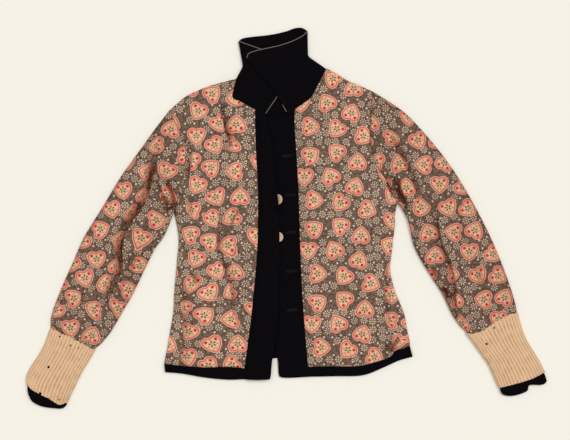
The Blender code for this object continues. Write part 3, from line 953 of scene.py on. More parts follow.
# What is printed in a heart: rings along its edge, a red berry in each lobe and a small flower with leaves.
HEART_FILLING_STEPS = """
heart INSIDE edge 0 1.2
line INSIDE edge -1.9 1.2
band INSIDE edge -3.6 1
middle INSIDE edge -7 0.3
berry_far DISTANCE spot 9.4 7.1
berry INSIDE berry_far 2.5 0.9
blush_far DISTANCE spot 10.1 8.4
blush_spread INSIDE blush_far 4.2 0.28
blush MULTIPLY blush_spread band
petal_top ELLIPSE spot 0 5.2 0 1.7 2.5
petal_high ELLIPSE spot 4.3 2 0.3 2.6 1.6
petal_low ELLIPSE spot 2.8 -2.9 -0.9 2.7 1.6
petals_side MINIMUM petal_high petal_low
petals_all MINIMUM petal_top petals_side
sprig INSIDE petals_all 0.95 1.1
leaf_low ELLIPSE spot 2.3 -9 -1.1 3 1.3
leaf_side ELLIPSE spot 7.9 -2 -0.6 2.6 1.2
eye DISTANCE spot 0 0.8
leaf_pair MINIMUM leaf_low leaf_side
leaf_near MINIMUM leaf_pair eye
leaves INSIDE leaf_near 1 1.1
"""
# A daisy to each 18 mm, a little off its place.
DAISY_PLACE_STEPS = """
sites DIVIDE u 18
lines DIVIDE v 18
site_number FLOOR sites
line_number FLOOR lines
site SPOT site_number line_number
luck_x CHANCE site 1
luck_y CHANCE site 2
luck_turn CHANCE site 3
luck_worn CHANCE site 6
site_x SUBTRACT sites site_number
site_y SUBTRACT lines line_number
daisy_x0 MULTIPLY_ADD site_x 18 -10.8
daisy_x MULTIPLY_ADD luck_x 3.6 daisy_x0
daisy_y0 MULTIPLY_ADD site_y 18 -10.8
daisy_y MULTIPLY_ADD luck_y 3.6 daisy_y0
daisy_u SUBTRACT u daisy_x
daisy_v SUBTRACT v daisy_y
"""
# Daisies under a heart are moved far off; the others have eight petals with pale tips and specks between.
DAISY_STEPS = """
daisy_far MINIMUM daisy_even_far daisy_odd_far
daisy_hidden LESS_THAN daisy_far 20.5
daisy_spot SPOT daisy_x daisy_y
daisy_near DISTANCE daisy_spot 0 0
daisy_out MULTIPLY_ADD daisy_hidden 100 daisy_near
daisy_angle ARCTAN2 daisy_y daisy_x
daisy_turned MULTIPLY_ADD luck_turn 6.2832 daisy_angle
petal_angle PINGPONG daisy_turned 0.3927
petal_cosine COSINE petal_angle
petal_sine SINE petal_angle
petal_along MULTIPLY daisy_out petal_cosine
petal_beside MULTIPLY daisy_out petal_sine
petal_spot SPOT petal_along petal_beside
petal_near ELLIPSE petal_spot 4.9 0 0 2.3 0.9
petals_new INSIDE petal_near 1 1.4
worn MULTIPLY_ADD luck_worn 0.4 0.6
petals MULTIPLY petals_new worn
tip_far DISTANCE petal_spot 5.8 0
tips_new INSIDE tip_far 1.4 1.3
tips MULTIPLY tips_new worn
core INSIDE daisy_out 1.2 1.4
speck_far DISTANCE petal_spot 5.1 2.11
speck_left MULTIPLY_ADD grain -3.2 speck_far
specks INSIDE speck_left 0 1.2
"""
# A cream dot between every four daisies, placed and hidden in the same way.
DOT_PLACE_STEPS = """
dot_sites ADD sites 0.5
dot_lines ADD lines 0.5
dot_column FLOOR dot_sites
dot_row FLOOR dot_lines
dot_site SPOT dot_column dot_row
luck_dot_x CHANCE dot_site 4
luck_dot_y CHANCE dot_site 5
dot_cell_x SUBTRACT dot_sites dot_column
dot_cell_y SUBTRACT dot_lines dot_row
dot_x0 MULTIPLY_ADD dot_cell_x 18 -11
dot_x MULTIPLY_ADD luck_dot_x 4 dot_x0
dot_y0 MULTIPLY_ADD dot_cell_y 18 -11
dot_y MULTIPLY_ADD luck_dot_y 4 dot_y0
dot_u SUBTRACT u dot_x
dot_v SUBTRACT v dot_y
"""
DOT_STEPS = """
dot_far MINIMUM dot_even_far dot_odd_far
dot_hidden LESS_THAN dot_far 21
dot_spot SPOT dot_x dot_y
dot_near DISTANCE dot_spot 0 0
dot_out MULTIPLY_ADD dot_hidden 100 dot_near
dots INSIDE dot_out 1.9 1.2
"""


@dataclass(frozen=True)
class PrintedCotton(Finish):
    """Printed plain-weave cotton: soft and matt, its dyes a little uneven, its threads just showing."""

    ground: str = "#846c5c"
    ground_deep: str = "#5b483c"
    dot: str = "#e4cfbb"
    speck: str = "#3d2e25"
    petal: str = "#d5b8a0"
    tip: str = "#e4cab4"
    core: str = "#dcc2a0"
    rim: str = "#efab94"
    line: str = "#b65a4b"
    band: str = "#f8b393"
    middle: str = "#efc9a3"
    blush: str = "#f2897a"
    berry: str = "#a63a2c"
    leaf: str = "#b98e66"
    sprig: str = "#5e402f"
    # The brown that the print is darkened towards, for its even tone and for the painted shade of folds and
    # edges.
    soil: str = "#834a1c"
    # Sizes in mm of the specks' grain and of the dye's mottle.
    grain: float = 7.0
    mottle: float = 4.5
    # Threads are 0.4 mm apart; they are drawn 1.8 mm apart so that the weave shows at the render's scale.
    thread: float = 1.8
    weave_depth: float = 0.05

    def make(self) -> bpy.types.Material:
        """Build the print in layers, from the ground up.

        Returns:
            The material.
        """
        material, formula, shader = self.start()
        formula.values["grain"] = formula.noise(self.grain, 2)
        self.find_hearts(formula, HEART_PLACE_STEPS + HEART_TURN_STEP, "here", "u", "v")
        formula.run(HEART_STEPS + HEART_FILLING_STEPS + DAISY_PLACE_STEPS + DOT_PLACE_STEPS)
        self.find_hearts(formula, HEART_PLACE_STEPS, "daisy", "daisy_u", "daisy_v")
        self.find_hearts(formula, HEART_PLACE_STEPS, "dot", "dot_u", "dot_v")
        formula.run(DAISY_STEPS + DOT_STEPS)
        formula.values["mottle"] = formula.noise(self.mottle, 4)
        formula.run("uneven INSIDE mottle 0.5 4")
        colour = formula.layer(self.ground, self.ground_deep, formula.values["uneven"])
        paints = {
            "specks": self.speck, "dots": self.dot, "petals": self.petal, "tips": self.tip,
            "core": self.core, "heart": self.rim, "line": self.line, "band": self.band,
            "middle": self.middle, "blush": self.blush, "leaves": self.leaf, "sprig": self.sprig,
            "berry": self.berry,
        }
        for mask, paint in paints.items():
            colour = formula.layer(colour, paint, formula.values[mask])
        # Darken the print by its even tone and by the painted shade and light of its folds and edges.
        soil = add_node(formula.tree, "Attribute", {}, attribute_name="soil").outputs["Fac"]
        layers = {0: soil, 6: colour, 7: linear(self.soil)}
        darkened = add_node(formula.tree, "Mix", layers, data_type="RGBA", blend_type="MULTIPLY").outputs[2]
        turn = round(2 * math.pi / self.thread, 2)
        formula.run(f"""
        weft_turn MULTIPLY v {turn}
        warp_turn MULTIPLY u {turn}
        weft SINE weft_turn
        warp SINE warp_turn
        weave MULTIPLY weft warp
        """)
        self.dress(formula, shader, darkened, formula.values["weave"], self.weave_depth)
        return material

    def find_hearts(self, formula: Formula, steps: str, point: str, u: str, v: str) -> None:
        """Measure a point from the nearest heart of each lot.

        Args:
            formula: the formula on the material's tree.
            steps: what is worked out for each lot.
            point: the point's name, which starts the names of what is found.
            u: name of its first coordinate.
            v: name of its second coordinate.
        """
        for lot in HEART_LOTS:
            formula.run(steps.format(at=f"{point}_{lot.name}", u=u, v=v, **lot._asdict()))


@dataclass(frozen=True)
class FulledWool(Finish):
    """Fulled and brushed wool cloth: near black, its short nap catching light only at a grazing angle."""

    cloth: str = "#060507"
    nap: str = "#0f0d11"
    # Fibres are hundredths of a millimetre; tangles and tufts of these sizes (mm) stand for them.
    tangle: float = 3.5
    tuft: float = 1.5
    nap_depth: float = 0.35

    def make(self) -> bpy.types.Material:
        """Build the nap as two sizes of tangled fibre.

        Returns:
            The material.
        """
        material, formula, shader = self.start()
        colour = formula.layer(self.cloth, self.nap, formula.noise(self.tangle, 4))
        self.dress(formula, shader, colour, formula.noise(self.tuft, 3), self.nap_depth)
        return material


@dataclass(frozen=True)
class RibKnit(Finish):
    """Rib-knit wool: plump ridges of small loops between thin furrows of painted shade, unevenly worn."""

    ridge: str = "#efcaa4"
    # Painted shade in the furrows between ribs.
    furrow: str = "#b08a62"
    stain: str = "#e4bb94"
    # The worn head's colour, also laid as painted shade down the outer edge.
    worn: str = "#dfb795"
    # Sizes in mm: a rib, a loop and its depth, and patches of fading and of stain.
    pitch: float = 6.0
    loop: float = 3.0
    loop_depth: float = 0.22
    fading: float = 13.0
    blotch: float = 22.0

    def make(self) -> bpy.types.Material:
        """Paint shade into the furrows between the ribs, which u of the cut chart counts by the pitch; less
        of it over the worn head and down the shaded outer edge.

        Returns:
            The material.
        """
        material, formula, shader = self.start()
        # This attribute holds the head's wear and the painted shade down the outer edge.
        worn = add_node(formula.tree, "Attribute", {}, attribute_name="soil").outputs["Fac"]
        formula.values["soil"] = worn
        formula.values["fading"] = formula.noise(self.fading, 3)
        formula.run(f"""
        rib_turn MULTIPLY u {2 * math.pi / self.pitch}
        rib_wave COSINE rib_turn
        between MULTIPLY_ADD rib_wave -0.5 0.5
        furrow_thin POWER between 1.7
        firm MULTIPLY_ADD soil -1 1
        shown MULTIPLY firm fading
        furrow_deep MULTIPLY furrow_thin shown
        furrow MULTIPLY furrow_deep 1.25
        loop_lean ABSOLUTE rib_wave
        loop_turn MULTIPLY v {2 * math.pi / self.loop}
        loop_slant MULTIPLY_ADD loop_lean 1.6 loop_turn
        loop SINE loop_slant
        """)
        colour = formula.layer(self.ridge, self.stain, formula.noise(self.blotch, 3))
        colour = formula.layer(colour, self.worn, worn)
        # Painted shade in the furrows.
        colour = formula.layer(colour, self.furrow, formula.values["furrow"])
        self.dress(formula, shader, colour, formula.values["loop"], self.loop_depth)
        return material


@dataclass(frozen=True)
class PolishedHorn(Finish):
    """Polished pale horn: cream with faint brown growth streaks and a soft gloss."""

    pale: str = "#e2c9ae"
    streak: str = "#b98f68"
    # A streak's size, in mm.
    width: float = 3.0
    length: float = 14.0

    def make(self) -> bpy.types.Material:
        """Stretch the streaks along the horn.

        Returns:
            The material.
        """
        material, formula, shader = self.start()
        spot = add_node(formula.tree, "TexCoord", {}).outputs["Object"]
        stretch = (1 / (self.width * MM), 1 / (self.length * MM), 1)
        grain = add_node(formula.tree, "Mapping", {0: spot, 3: stretch}).outputs[0]
        noise = {"Vector": grain, "Scale": 1.0, "Detail": 4.0}
        streaks = add_node(formula.tree, "TexNoise", noise).outputs[0]
        self.dress(formula, shader, formula.layer(self.pale, self.streak, streaks))
        return material


@dataclass(frozen=True)
class TwistedThread(Finish):
    """Twisted thread or cord: its plies lie as slanting stripes, with painted light on their crowns and
    painted shade in the grooves between.
    """

    # Painted light on the plies' crowns, painted shade in their grooves.
    crown: str = "#8b7f78"
    groove: str = "#5b524c"
    ply: float = 2.4
    ply_depth: float = 0.2

    def make(self) -> bpy.types.Material:
        """Slant the plies round the cord: u runs along it and v round it, both in mm.

        Returns:
            The material.
        """
        material, formula, shader = self.start()
        formula.run(f"""
        ply_along MULTIPLY u {2 * math.pi / self.ply}
        ply_turn ADD ply_along v
        ply_wave SINE ply_turn
        ply MULTIPLY_ADD ply_wave 0.5 0.5
        """)
        ply = formula.values["ply"]
        self.dress(formula, shader, formula.layer(self.groove, self.crown, ply), ply, self.ply_depth)
        return material


@dataclass
class Finishes:
    """All the jacket's finishes, made once."""

    lining: bpy.types.Material = field(
        default_factory=PrintedCotton("printed plain-weave cotton", roughness=0.9, specular=0.15).make
    )
    wool: bpy.types.Material = field(
        default_factory=FulledWool("fulled black wool", roughness=1.0, specular=0.03).make
    )
    knit: bpy.types.Material = field(
        default_factory=RibKnit("rib-knit wool", roughness=0.95, specular=0.1, sheen=0.1).make
    )
    horn: bpy.types.Material = field(
        default_factory=PolishedHorn("polished horn", roughness=0.35, specular=0.5).make
    )
    edging: bpy.types.Material = field(
        default_factory=TwistedThread("twisted rayon edging", roughness=0.6).make
    )
    # Black silk, with painted light on its plies' crowns and painted shade in their grooves.
    thread: bpy.types.Material = field(
        default_factory=TwistedThread(
            "black buttonhole silk", roughness=0.5, crown="#19161a", groove="#080709"
        ).make
    )


@dataclass(frozen=True)
class Levels:
    """Heights above the table and sizes at the seams, in mm, that neighbouring pieces share."""

    lining: float = 7.4
    lining_wall: float = 1.4
    wool: float = 6.0
    wool_wall: float = 2.2
    seam: float = 3.6
    seam_gap: float = 0.3
    valley: float = 1.6
    valley_width: float = 5.0
    roll: float = 9.0

    def sunk(self, distance: Array) -> Array:
        """How far the cloth sinks at a distance from a sewn-in sleeve's seam."""
        return self.valley * np.exp(-((distance / self.valley_width) ** 2))


LEVELS = Levels()

# Folds of the lining and the facings, each on its own line; the deepest take cloth in and cut the print, and
# the fifth value of many is the shade painted along them.
FOLDS: dict[str, tuple[Fold, ...]] = {
    "front_left": (
        Crease(((-115, 124), (-115, 156), (-120, 172), (-130, 214), (-124, 244)), 7, 2.2, 13, 0.6),
        Crease(((-92, 22), (-102, 2), (-112, -18)), 3.5, -1.2, 0, 0.7),
        Crease(((-104, -216), (-110, -144), (-121, -104), (-136, -68), (-133, 28)), 7, 2.2, 12, 0.4),
        Crease(((-198, 164), (-188, 136), (-190, 104), (-196, 70)), 7, 1.8, 13, 0.45),
        Crease(((-194, 2), (-193, 24), (-196, 44)), 6, 1.4, 8, 0.4),
        Crease(((-226, 44), (-222, 22), (-226, -6)), 6, -1.6, 0, 0.5),
        Crease(((-117, 134), (-110, 84), (-105, -6)), 9, 1.2, 0, 0.1),
        Crease(((-216, -316), (-207, -240), (-204, -190), (-209, -116)), 10, 2.0, 13, 0.3),
        Crease(((-190, -108), (-180, -122), (-172, -132)), 5, -1.8, 0, 0.55),
        Crease(((-204, 60), (-182, 40), (-166, 14)), 9, 1.6),
        Crease(((-90, 190), (-98, 120), (-92, 60)), 16, 1.3),
        Crease(((-160, 214), (-168, 160), (-160, 110)), 15, 1.2),
        Crease(((-168, -70), (-160, -150), (-166, -250)), 16, 1.3),
        Crease(((-96, -230), (-92, -160), (-100, -90)), 14, -1.0),
        Pucker(SEAMS["facing_left"], 19, 13, 0.7),
        Pucker(SEAMS["armhole_left"], 15, 14, 0.8),
        Pucker(SEAMS["hem_left"], 22, 12, 0.7),
        Ripple(62, 0.7, 11),
        Ripple(27, 0.3, 12),
    ),
    "front_right": (
        Crease(((210, -230), (199, -176), (196, -134), (198, -84)), 7, 2.0, 11, 0.35),
        Crease(((176, 34), (172, -44), (161, -96)), 12, 1.8, 0, 0.12),
        Crease(((208, -270), (214, -252), (226, -231)), 6, 2.2, 9, 0.6),
        Crease(((190, -268), (206, -250), (214, -226)), 6, -1.6, 0, 0.4),
        Crease(((196, 76), (178, 52), (164, 24)), 9, 1.7),
        Crease(((176, 110), (168, 140), (168, 178), (166, 232)), 7, 1.7, 10, 0.4),
        Crease(((214, 40), (200, 76), (184, 100)), 6, 1.7, 8, 0.55),
        Crease(((218, 36), (208, 56), (202, 74)), 5, -1.8, 0, 0.5),
        Crease(((118, 186), (132, 214), (150, 236)), 14, 1.5),
        Crease(((60, 190), (66, 110), (58, 40)), 17, 1.2),
        Crease(((96, 60), (104, -40), (94, -130)), 16, 1.0),
        Crease(((66, -120), (74, -190), (66, -270)), 15, 1.2),
        Crease(((140, -120), (148, -190), (142, -262)), 13, -1.1),
        Pucker(SEAMS["facing_right"], 21, 13, 0.7),
        Pucker(SEAMS["armhole_right"], 16, 14, 0.9),
        Pucker(SEAMS["hem_right"], 20, 12, 0.8),
        Ripple(62, 0.7, 21),
        Ripple(27, 0.3, 22),
    ),
    "back": (
        Crease(((-120, 200), (-126, 60), (-112, -120)), 18, 1.1),
        Crease(((90, 210), (104, 40), (92, -150)), 18, 1.1),
        Crease(((-200, 30), (-150, -10), (-120, -60)), 11, 1.2),
        Crease(((196, 36), (150, 0), (128, -56)), 11, 1.2),
        Ripple(70, 0.35, 31),
    ),
    "sleeve_left": (
        Valley((
            (-392, -190), (-366, -136), (-350, -97), (-348, -46), (-326, 6), (-300, 44), (-286, 94),
            (-276, 140), (-262, 184),
        ), 25, 3.0, 18, 0.7),
        Crease(((-409, -176), (-407, -160), (-409, -146)), 5, 1.3, 7, 0.4),
        Crease(((-264, 82), (-250, 62), (-232, 22)), 7, 2.2, 8, 0.2),
        Crease(((-252, 92), (-238, 66), (-226, 44)), 5, -2.0, 0, 0.25),
        Crease(((-238, 78), (-231, 60), (-226, 44), (-221, 20)), 4, -2.2, 0, 1.1),
        Crease(((-248, 22), (-235, 19), (-218, 26)), 4, -2.2, 0, 1.1),
        Crease(((-252, 44), (-240, 36), (-228, 32)), 5, -1.6, 0, 0.6),
        Crease(((-244, 30), (-252, 4), (-270, -30)), 9, 1.7, 0, 0.1),
        Crease(((-300, 116), (-330, 60), (-352, 8)), 15, 1.4),
        Crease(((-392, -40), (-404, -90), (-424, -140)), 13, 1.3),
        Crease(((-296, -60), (-318, -116), (-340, -164)), 10, -1.0),
        Crease(((-236, 176), (-262, 140), (-276, 112)), 13, 1.4),
        Pucker(SEAMS["armhole_left"], 17, 16, 0.9),
        Pucker(SEAMS["cuff_left"], 13, 16, 1.0),
        Pucker(((-296, -64), (-316, -116), (-346, -178)), 13, 12, 1.6, 0.7),
        Ripple(56, 0.7, 41),
        Ripple(24, 0.3, 42),
    ),
    "sleeve_right": (
        Crease((
            (298, 40), (303, -8), (312, -52), (330, -96), (338, -139), (341, -176), (370, -222),
        ), 6, 2.2, 12, 0.5),
        Valley(((212, 186), (232, 150), (252, 112), (272, 66), (284, 26)), 18, 2.4, 13, 0.5),
        Crease(((384, -96), (387, -118), (392, -138)), 8, -1.2, 0, 0.2),
        Crease(((292, -92), (296, -108), (304, -122)), 6, -1.4, 0, 0.6),
        Crease(((314, -136), (320, -148), (326, -162)), 6, -1.4, 0, 0.6),
        Crease(((206, 92), (226, 66), (238, 34)), 7, 2.0, 8, 0.5),
        Crease(((214, 62), (232, 40), (244, 12)), 5, -1.8, 0, 0.5),
        Crease(((220, 80), (225, 72), (228, 62)), 4, -2.0, 0, 0.9),
        Crease(((246, 18), (262, -16), (274, -52)), 9, 1.6),
        Crease(((262, 150), (300, 96), (330, 30)), 15, 1.4),
        Crease(((360, 20), (384, -40), (404, -92)), 13, 1.2),
        Crease(((196, 220), (222, 178), (240, 140)), 13, 1.3),
        Crease(((420, -116), (436, -150), (446, -184)), 11, -1.0),
        Pucker(SEAMS["armhole_right"], 17, 16, 0.9),
        Pucker(SEAMS["cuff_right"], 13, 16, 1.0),
        Ripple(56, 0.7, 51),
        Ripple(24, 0.3, 52),
    ),
    "facing_left": (
        Crease(((-31, 150), (-34, 40), (-33, -70)), 8, -1.4),
        Crease(((-14, 62), (-13, 38), (-13, 14)), 15, 7),
        Ripple(50, 0.5, 62),
    ),
    "facing_right": (Ripple(50, 0.5, 63),),
}


class Lie(NamedTuple):
    """How folded cloth lies: height added (mm), shift of its own pattern (mm) and painted shade, from 0 to 1.
    """

    height: Array
    shift: Array
    dirt: Array


def fold_up(plan: Array, folds: Sequence[Fold]) -> Lie:
    """Add up the folds of a piece of cloth.

    Args:
        plan: points as rows, columns and x, y.
        folds: what lies in the cloth.

    Returns:
        How the cloth lies at each point.
    """
    height = sum(fold.lay(plan) for fold in folds)
    shift = sum(fold.taken(plan) for fold in folds)
    return Lie(height, shift, sum(fold.dirt(plan) for fold in folds))


# How much lighter cloth is painted for each mm that a fold lifts it and darker for each mm that it sinks, as
# painted light and shade, and the most that it is darkened.
HEIGHT_SHADE, DARKEST = 0.05, 0.9


def toned_and_shaded(lie: Lie, tone: float) -> Array:
    """How far the cloth is darkened, from 0 to 1: an even tone, with painted shade in its troughs and folds
    and painted light where folds lift it.
    """
    return np.clip(tone - HEIGHT_SHADE * lie.height + lie.dirt, 0, DARKEST)


def raised(plan: Array, height: Array) -> Array:
    """Join a plan grid and its heights."""
    return np.concatenate((plan, height[..., None]), axis=-1)


def turned(plan: Array, angle: float) -> Array:
    """A plan grid turned in its plane, as the pattern was laid on the cloth."""
    x, y, cosine, sine = plan[..., 0], plan[..., 1], math.cos(angle), math.sin(angle)
    return np.stack((x * cosine - y * sine, x * sine + y * cosine), -1)


class PrintLay(NamedTuple):
    """How a panel was laid on the print: the turn of its grain (rad) and where a repeat starts (mm)."""

    grain: float
    x: float
    y: float

    def chart(self, plan: Array) -> Array:
        """Chart a grid of plan points in the print's own directions."""
        return turned(plan - (self.x, self.y), self.grain)


PRINT_LAYS: dict[str, PrintLay] = {
    "front_left": PrintLay(0.015, -368.9, -115.4),
    "front_right": PrintLay(-0.05, 34.1, -148.6),
    "sleeve_left": PrintLay(0.366, -597.5, -12.4),
    "sleeve_right": PrintLay(-0.419, 267.3, -312.6),
    "back": PrintLay(0.04, 0, 0),
}


# Columns of a tongue, and the column whose way a tongue runs on.
TONGUE, TONGUE_AIM = 2, 3


def with_tongue(plan: Array, reach: float) -> Array:
    """Run the first column on under its neighbour, as a seam allowance does.

    Args:
        plan: points as rows, columns and x, y.
        reach: how far it runs on, in mm.

    Returns:
        The points with the tongue's columns before them.
    """
    heading = unit(plan[:, 0] - plan[:, TONGUE_AIM])
    shares = np.linspace(1, 0, TONGUE, endpoint=False)
    extra = [(plan[:, 0] + heading * reach * share)[:, None] for share in shares]
    return np.concatenate((*extra, plan), axis=1)


def straightened(plan: Array) -> Array:
    """Chart a grid of cloth by its own lengths.

    Args:
        plan: points as rows, columns and x, y.

    Returns:
        Lengths across each row and along the rows' middle, in mm.
    """
    along = travelled(plan[:, plan.shape[1] // 2])
    steps = span(np.diff(plan, axis=1))
    across = np.concatenate((np.zeros((len(plan), 1)), np.cumsum(steps, axis=1)), axis=1)
    return np.stack((across, np.broadcast_to(along[:, None], across.shape)), axis=-1)


# Shares of the rows up a panel's outer line, by its side, armhole and shoulder, and up its inner line.
SIDE_ROWS, ARMHOLE_ROWS, SHOULDER_ROWS = 9, 8, 4
FACING_ROWS, NECK_ROWS = 16, 5
OUTER_ROWS = SIDE_ROWS + ARMHOLE_ROWS + SHOULDER_ROWS
# Share of the rows over which the side's roll turns into the armhole's seam.
ARMHOLE_BLEND = 0.03


def outer_line(side: Side, up: Array) -> Array:
    """The line up a panel's outer side: side seam, armhole and shoulder."""
    names = (("side_", SIDE_ROWS), ("armhole_", ARMHOLE_ROWS), ("shoulder_", SHOULDER_ROWS))
    return chain(up, *((SEAMS[name + side.value], rows) for name, rows in names))


def beside_armhole(up: Array) -> Array:
    """1 on the rows beside the armhole and 0 at the side and the shoulder, as a column."""
    low, high = SIDE_ROWS / OUTER_ROWS, (SIDE_ROWS + ARMHOLE_ROWS) / OUTER_ROWS
    return (ease((up - low) / ARMHOLE_BLEND) * ease((high - up) / ARMHOLE_BLEND))[:, None]


def from_edges(plan: Array, across: Array) -> Array:
    """Distance of each point of a plan grid from the nearer end of its row, in mm."""
    return np.minimum(across, 1 - across) * span(plan[:, -1] - plan[:, 0])[:, None]


@dataclass
class FrontPanel:
    """One front of the lining, from its facing and neck out to the side, the armhole and the shoulder."""

    side: Side
    tone: float = 0.1
    rows: int = 210
    columns: int = 80
    # How far the panel bellies up, and how far in from its inner edge, its outer edge and its hem.
    billow: float = 2.2
    inner_dome: float = 50.0
    outer_dome: float = 60.0
    hem_dome: float = 40.0
    # How far in folds are calmed at the sewn edges and at the side, from a little outside it.
    seam_calm: float = 14.0
    side_calm: float = 16.0
    side_start: float = 3.0
    # The share of them that runs on there, up to a strip along the outer edge where it fades.
    run_on: float = 0.5
    run_on_stop: float = 2.0
    run_on_fade: float = 6.0
    # How far the edge on the wool is pressed down, and how wide.
    lip: float = 0.9
    lip_width: float = 1.8

    def build(self, finishes: Finishes) -> None:
        """Lay the panel over the wool and fold its edges in.

        Args:
            finishes: the jacket's finishes.
        """
        side = self.side.value
        name = f"front_{side}"
        up, across = np.linspace(0, 1, self.rows), spread(self.columns)
        inner = chain(up, (SEAMS[f"facing_{side}"], FACING_ROWS), (SEAMS[f"neck_{side}"], NECK_ROWS))
        outer = outer_line(self.side, up)
        plan = ruled(inner, outer, across, SEAMS[f"hem_{side}"])
        width = span(outer - inner)[:, None]
        from_inner, from_outer = across * width, (1 - across) * width
        from_hem = span(plan - plan[:1])
        lie = fold_up(plan, FOLDS[name])
        calm = ease(from_inner / self.seam_calm) * ease(from_hem / self.seam_calm)
        calm = calm * ease((from_outer + self.side_start) / self.side_calm)
        dome = rolled(from_inner, self.inner_dome) * rolled(from_outer, self.outer_dome)
        dome = dome * rolled(from_hem, self.hem_dome)
        top = LEVELS.lining + (self.billow * dome + lie.height) * calm
        running_on = self.run_on * lie.height * (1 - calm)
        top = top + running_on * ease((from_outer - self.run_on_stop) / self.run_on_fade)
        top = top - self.lip * np.exp(-((np.minimum(from_inner, from_hem) / self.lip_width) ** 2))
        at_side = LEVELS.seam + (top - LEVELS.seam) * rolled(from_outer, LEVELS.roll)
        at_armhole = top - LEVELS.sunk(from_outer)
        place = raised(plan, at_side + (at_armhole - at_side) * beside_armhole(up))
        cut = PRINT_LAYS[name].chart(plan + lie.shift)
        soil = toned_and_shaded(lie, self.tone)
        cloth = Cloth(f"lining_{name}", place, cut, LEVELS.lining_wall, plain_rim=True, soil=soil)
        piece = cloth.build(finishes.lining, finishes.wool, Slot.LINING, name)
        cloth.declare(piece, ["lining_back"])


@dataclass
class BackPanel:
    """The back of the lining, face down on the table, its sides and shoulders rolled up to the fronts."""

    rows: int = 170
    columns: int = 120
    tone: float = 0.12
    side_calm: float = 30.0

    def build(self, finishes: Finishes) -> None:
        """Lay the panel flat, with shallow folds that lift off the table.

        Args:
            finishes: the jacket's finishes.
        """
        up, across = np.linspace(0, 1, self.rows), spread(self.columns)
        left, right = outer_line(Side.LEFT, up), outer_line(Side.RIGHT, up)
        left[-1], right[-1] = SEAMS["neck_back"][0], SEAMS["neck_back"][-1]
        plan = ruled(left, right, across, SEAMS["hem_back"], SEAMS["neck_back"])
        from_side = from_edges(plan, across)
        lie = fold_up(plan, FOLDS["back"])
        lift = np.clip(lie.height, 0, None) * ease(from_side / self.side_calm)
        seam = LEVELS.seam - LEVELS.seam_gap
        at_side = seam - (seam - lift) * rolled(from_side, LEVELS.roll)
        at_armhole = lift + LEVELS.sunk(from_side) / 2
        place = raised(plan, at_side + (at_armhole - at_side) * beside_armhole(up))
        cut = PRINT_LAYS["back"].chart(plan + lie.shift)
        soil = toned_and_shaded(lie, self.tone)
        cloth = Cloth(
            "lining_back", place, cut, LEVELS.lining_wall, face_up=False, plain_rim=True, soil=soil
        )
        piece = cloth.build(finishes.lining, finishes.wool, Slot.LINING, "back_panel")
        cloth.declare(piece, [])


@dataclass
class Facing:
    """One wool facing down the front opening; the left one lies over the right one and its buttons."""

    side: Side
    lift: float
    rows: int = 190
    columns: int = 30
    tongue: float = 7.0
    lift_reach: float = 13.0
    # How far in folds are calmed at the seam and at the foot.
    seam_calm: float = 8.0
    foot_calm: float = 12.0
    # The free edge thins over its roll by a share of the wall.
    edge_roll: float = 3.0
    edge_thin: float = 0.6

    def build(self, finishes: Finishes) -> tuple[Cloth, bpy.types.Object]:
        """Lay the facing from under the lining to its free edge.

        Args:
            finishes: the jacket's finishes.

        Returns:
            The cloth and its finished object, for what is sewn on it.
        """
        name = self.side.value
        up, across = np.linspace(0, 1, self.rows), spread(self.columns)
        foot = EDGES[f"facing_foot_{name}"]
        seam = curve((foot[0], *SEAMS[f"facing_{name}"]), up)
        free = curve(EDGES[f"front_{name}"], up)
        plan = with_tongue(ruled(seam, free, across, foot, EDGES[f"facing_top_{name}"]), self.tongue)
        from_seam = span(plan - plan[:, TONGUE, None])
        from_free = span(plan - plan[:, -1:])
        from_foot = span(plan - plan[:1])
        height = fold_up(plan, FOLDS[f"facing_{name}"]).height
        raise_up = self.lift * ease(from_seam / self.lift_reach)
        raise_up[:, :TONGUE] = 0
        calm = ease(from_seam / self.seam_calm) * ease(from_foot / self.foot_calm)
        whole = np.minimum(rolled(from_free, self.edge_roll), rolled(from_foot, self.edge_roll))
        top = LEVELS.wool + raise_up + height * calm - self.edge_thin * LEVELS.wool_wall * (1 - whole)
        cloth = Cloth(f"wool_facing_{name}", raised(plan, top), straightened(plan), LEVELS.wool_wall)
        piece = cloth.build(finishes.wool, finishes.wool, Slot.WOOL, f"facing_{name}")
        return cloth, piece


@dataclass
class HemBand:
    """A band of wool along the hem, from under the lining down to its turned edge."""

    name: str
    seam: Points
    foot: Points
    low: float
    high: float
    face_up: bool = True
    rows: int = 90
    columns: int = 14
    tongue: float = 7.0
    draw: float = 0.03
    edge_roll: float = 4.0
    foot_calm: float = 6.0

    def build(self, finishes: Finishes) -> None:
        """Lay the band and roll its foot over.

        Args:
            finishes: the jacket's finishes.
        """
        along, across = np.linspace(0, 1, self.rows), spread(self.columns)
        first, last = curve(self.seam, along), curve(self.foot, along)
        plan = with_tongue(ruled(first, last, across), self.tongue)
        # The tongue is drawn in a little, so that its ends stay under the lining.
        plan[:, :TONGUE] += self.draw * (plan[self.rows // 2, :TONGUE] - plan[:, :TONGUE])
        from_foot = span(plan - plan[:, -1:])
        height = fold_up(plan, (Pucker(self.seam, 23, 18, 0.5), Ripple(34, 0.3, 61))).height
        if not self.face_up:
            height = np.clip(height, 0, None)
        level = self.low + (self.high - self.low) * rolled(from_foot, self.edge_roll)
        place = raised(plan, level + height * ease(from_foot / self.foot_calm))
        cut = straightened(plan)
        cloth = Cloth(f"wool_{self.name}", place, cut, LEVELS.wool_wall, face_up=self.face_up)
        piece = cloth.build(finishes.wool, finishes.wool, Slot.WOOL, self.name)
        cloth.declare(piece, ["lining_back"] if self.face_up else [])


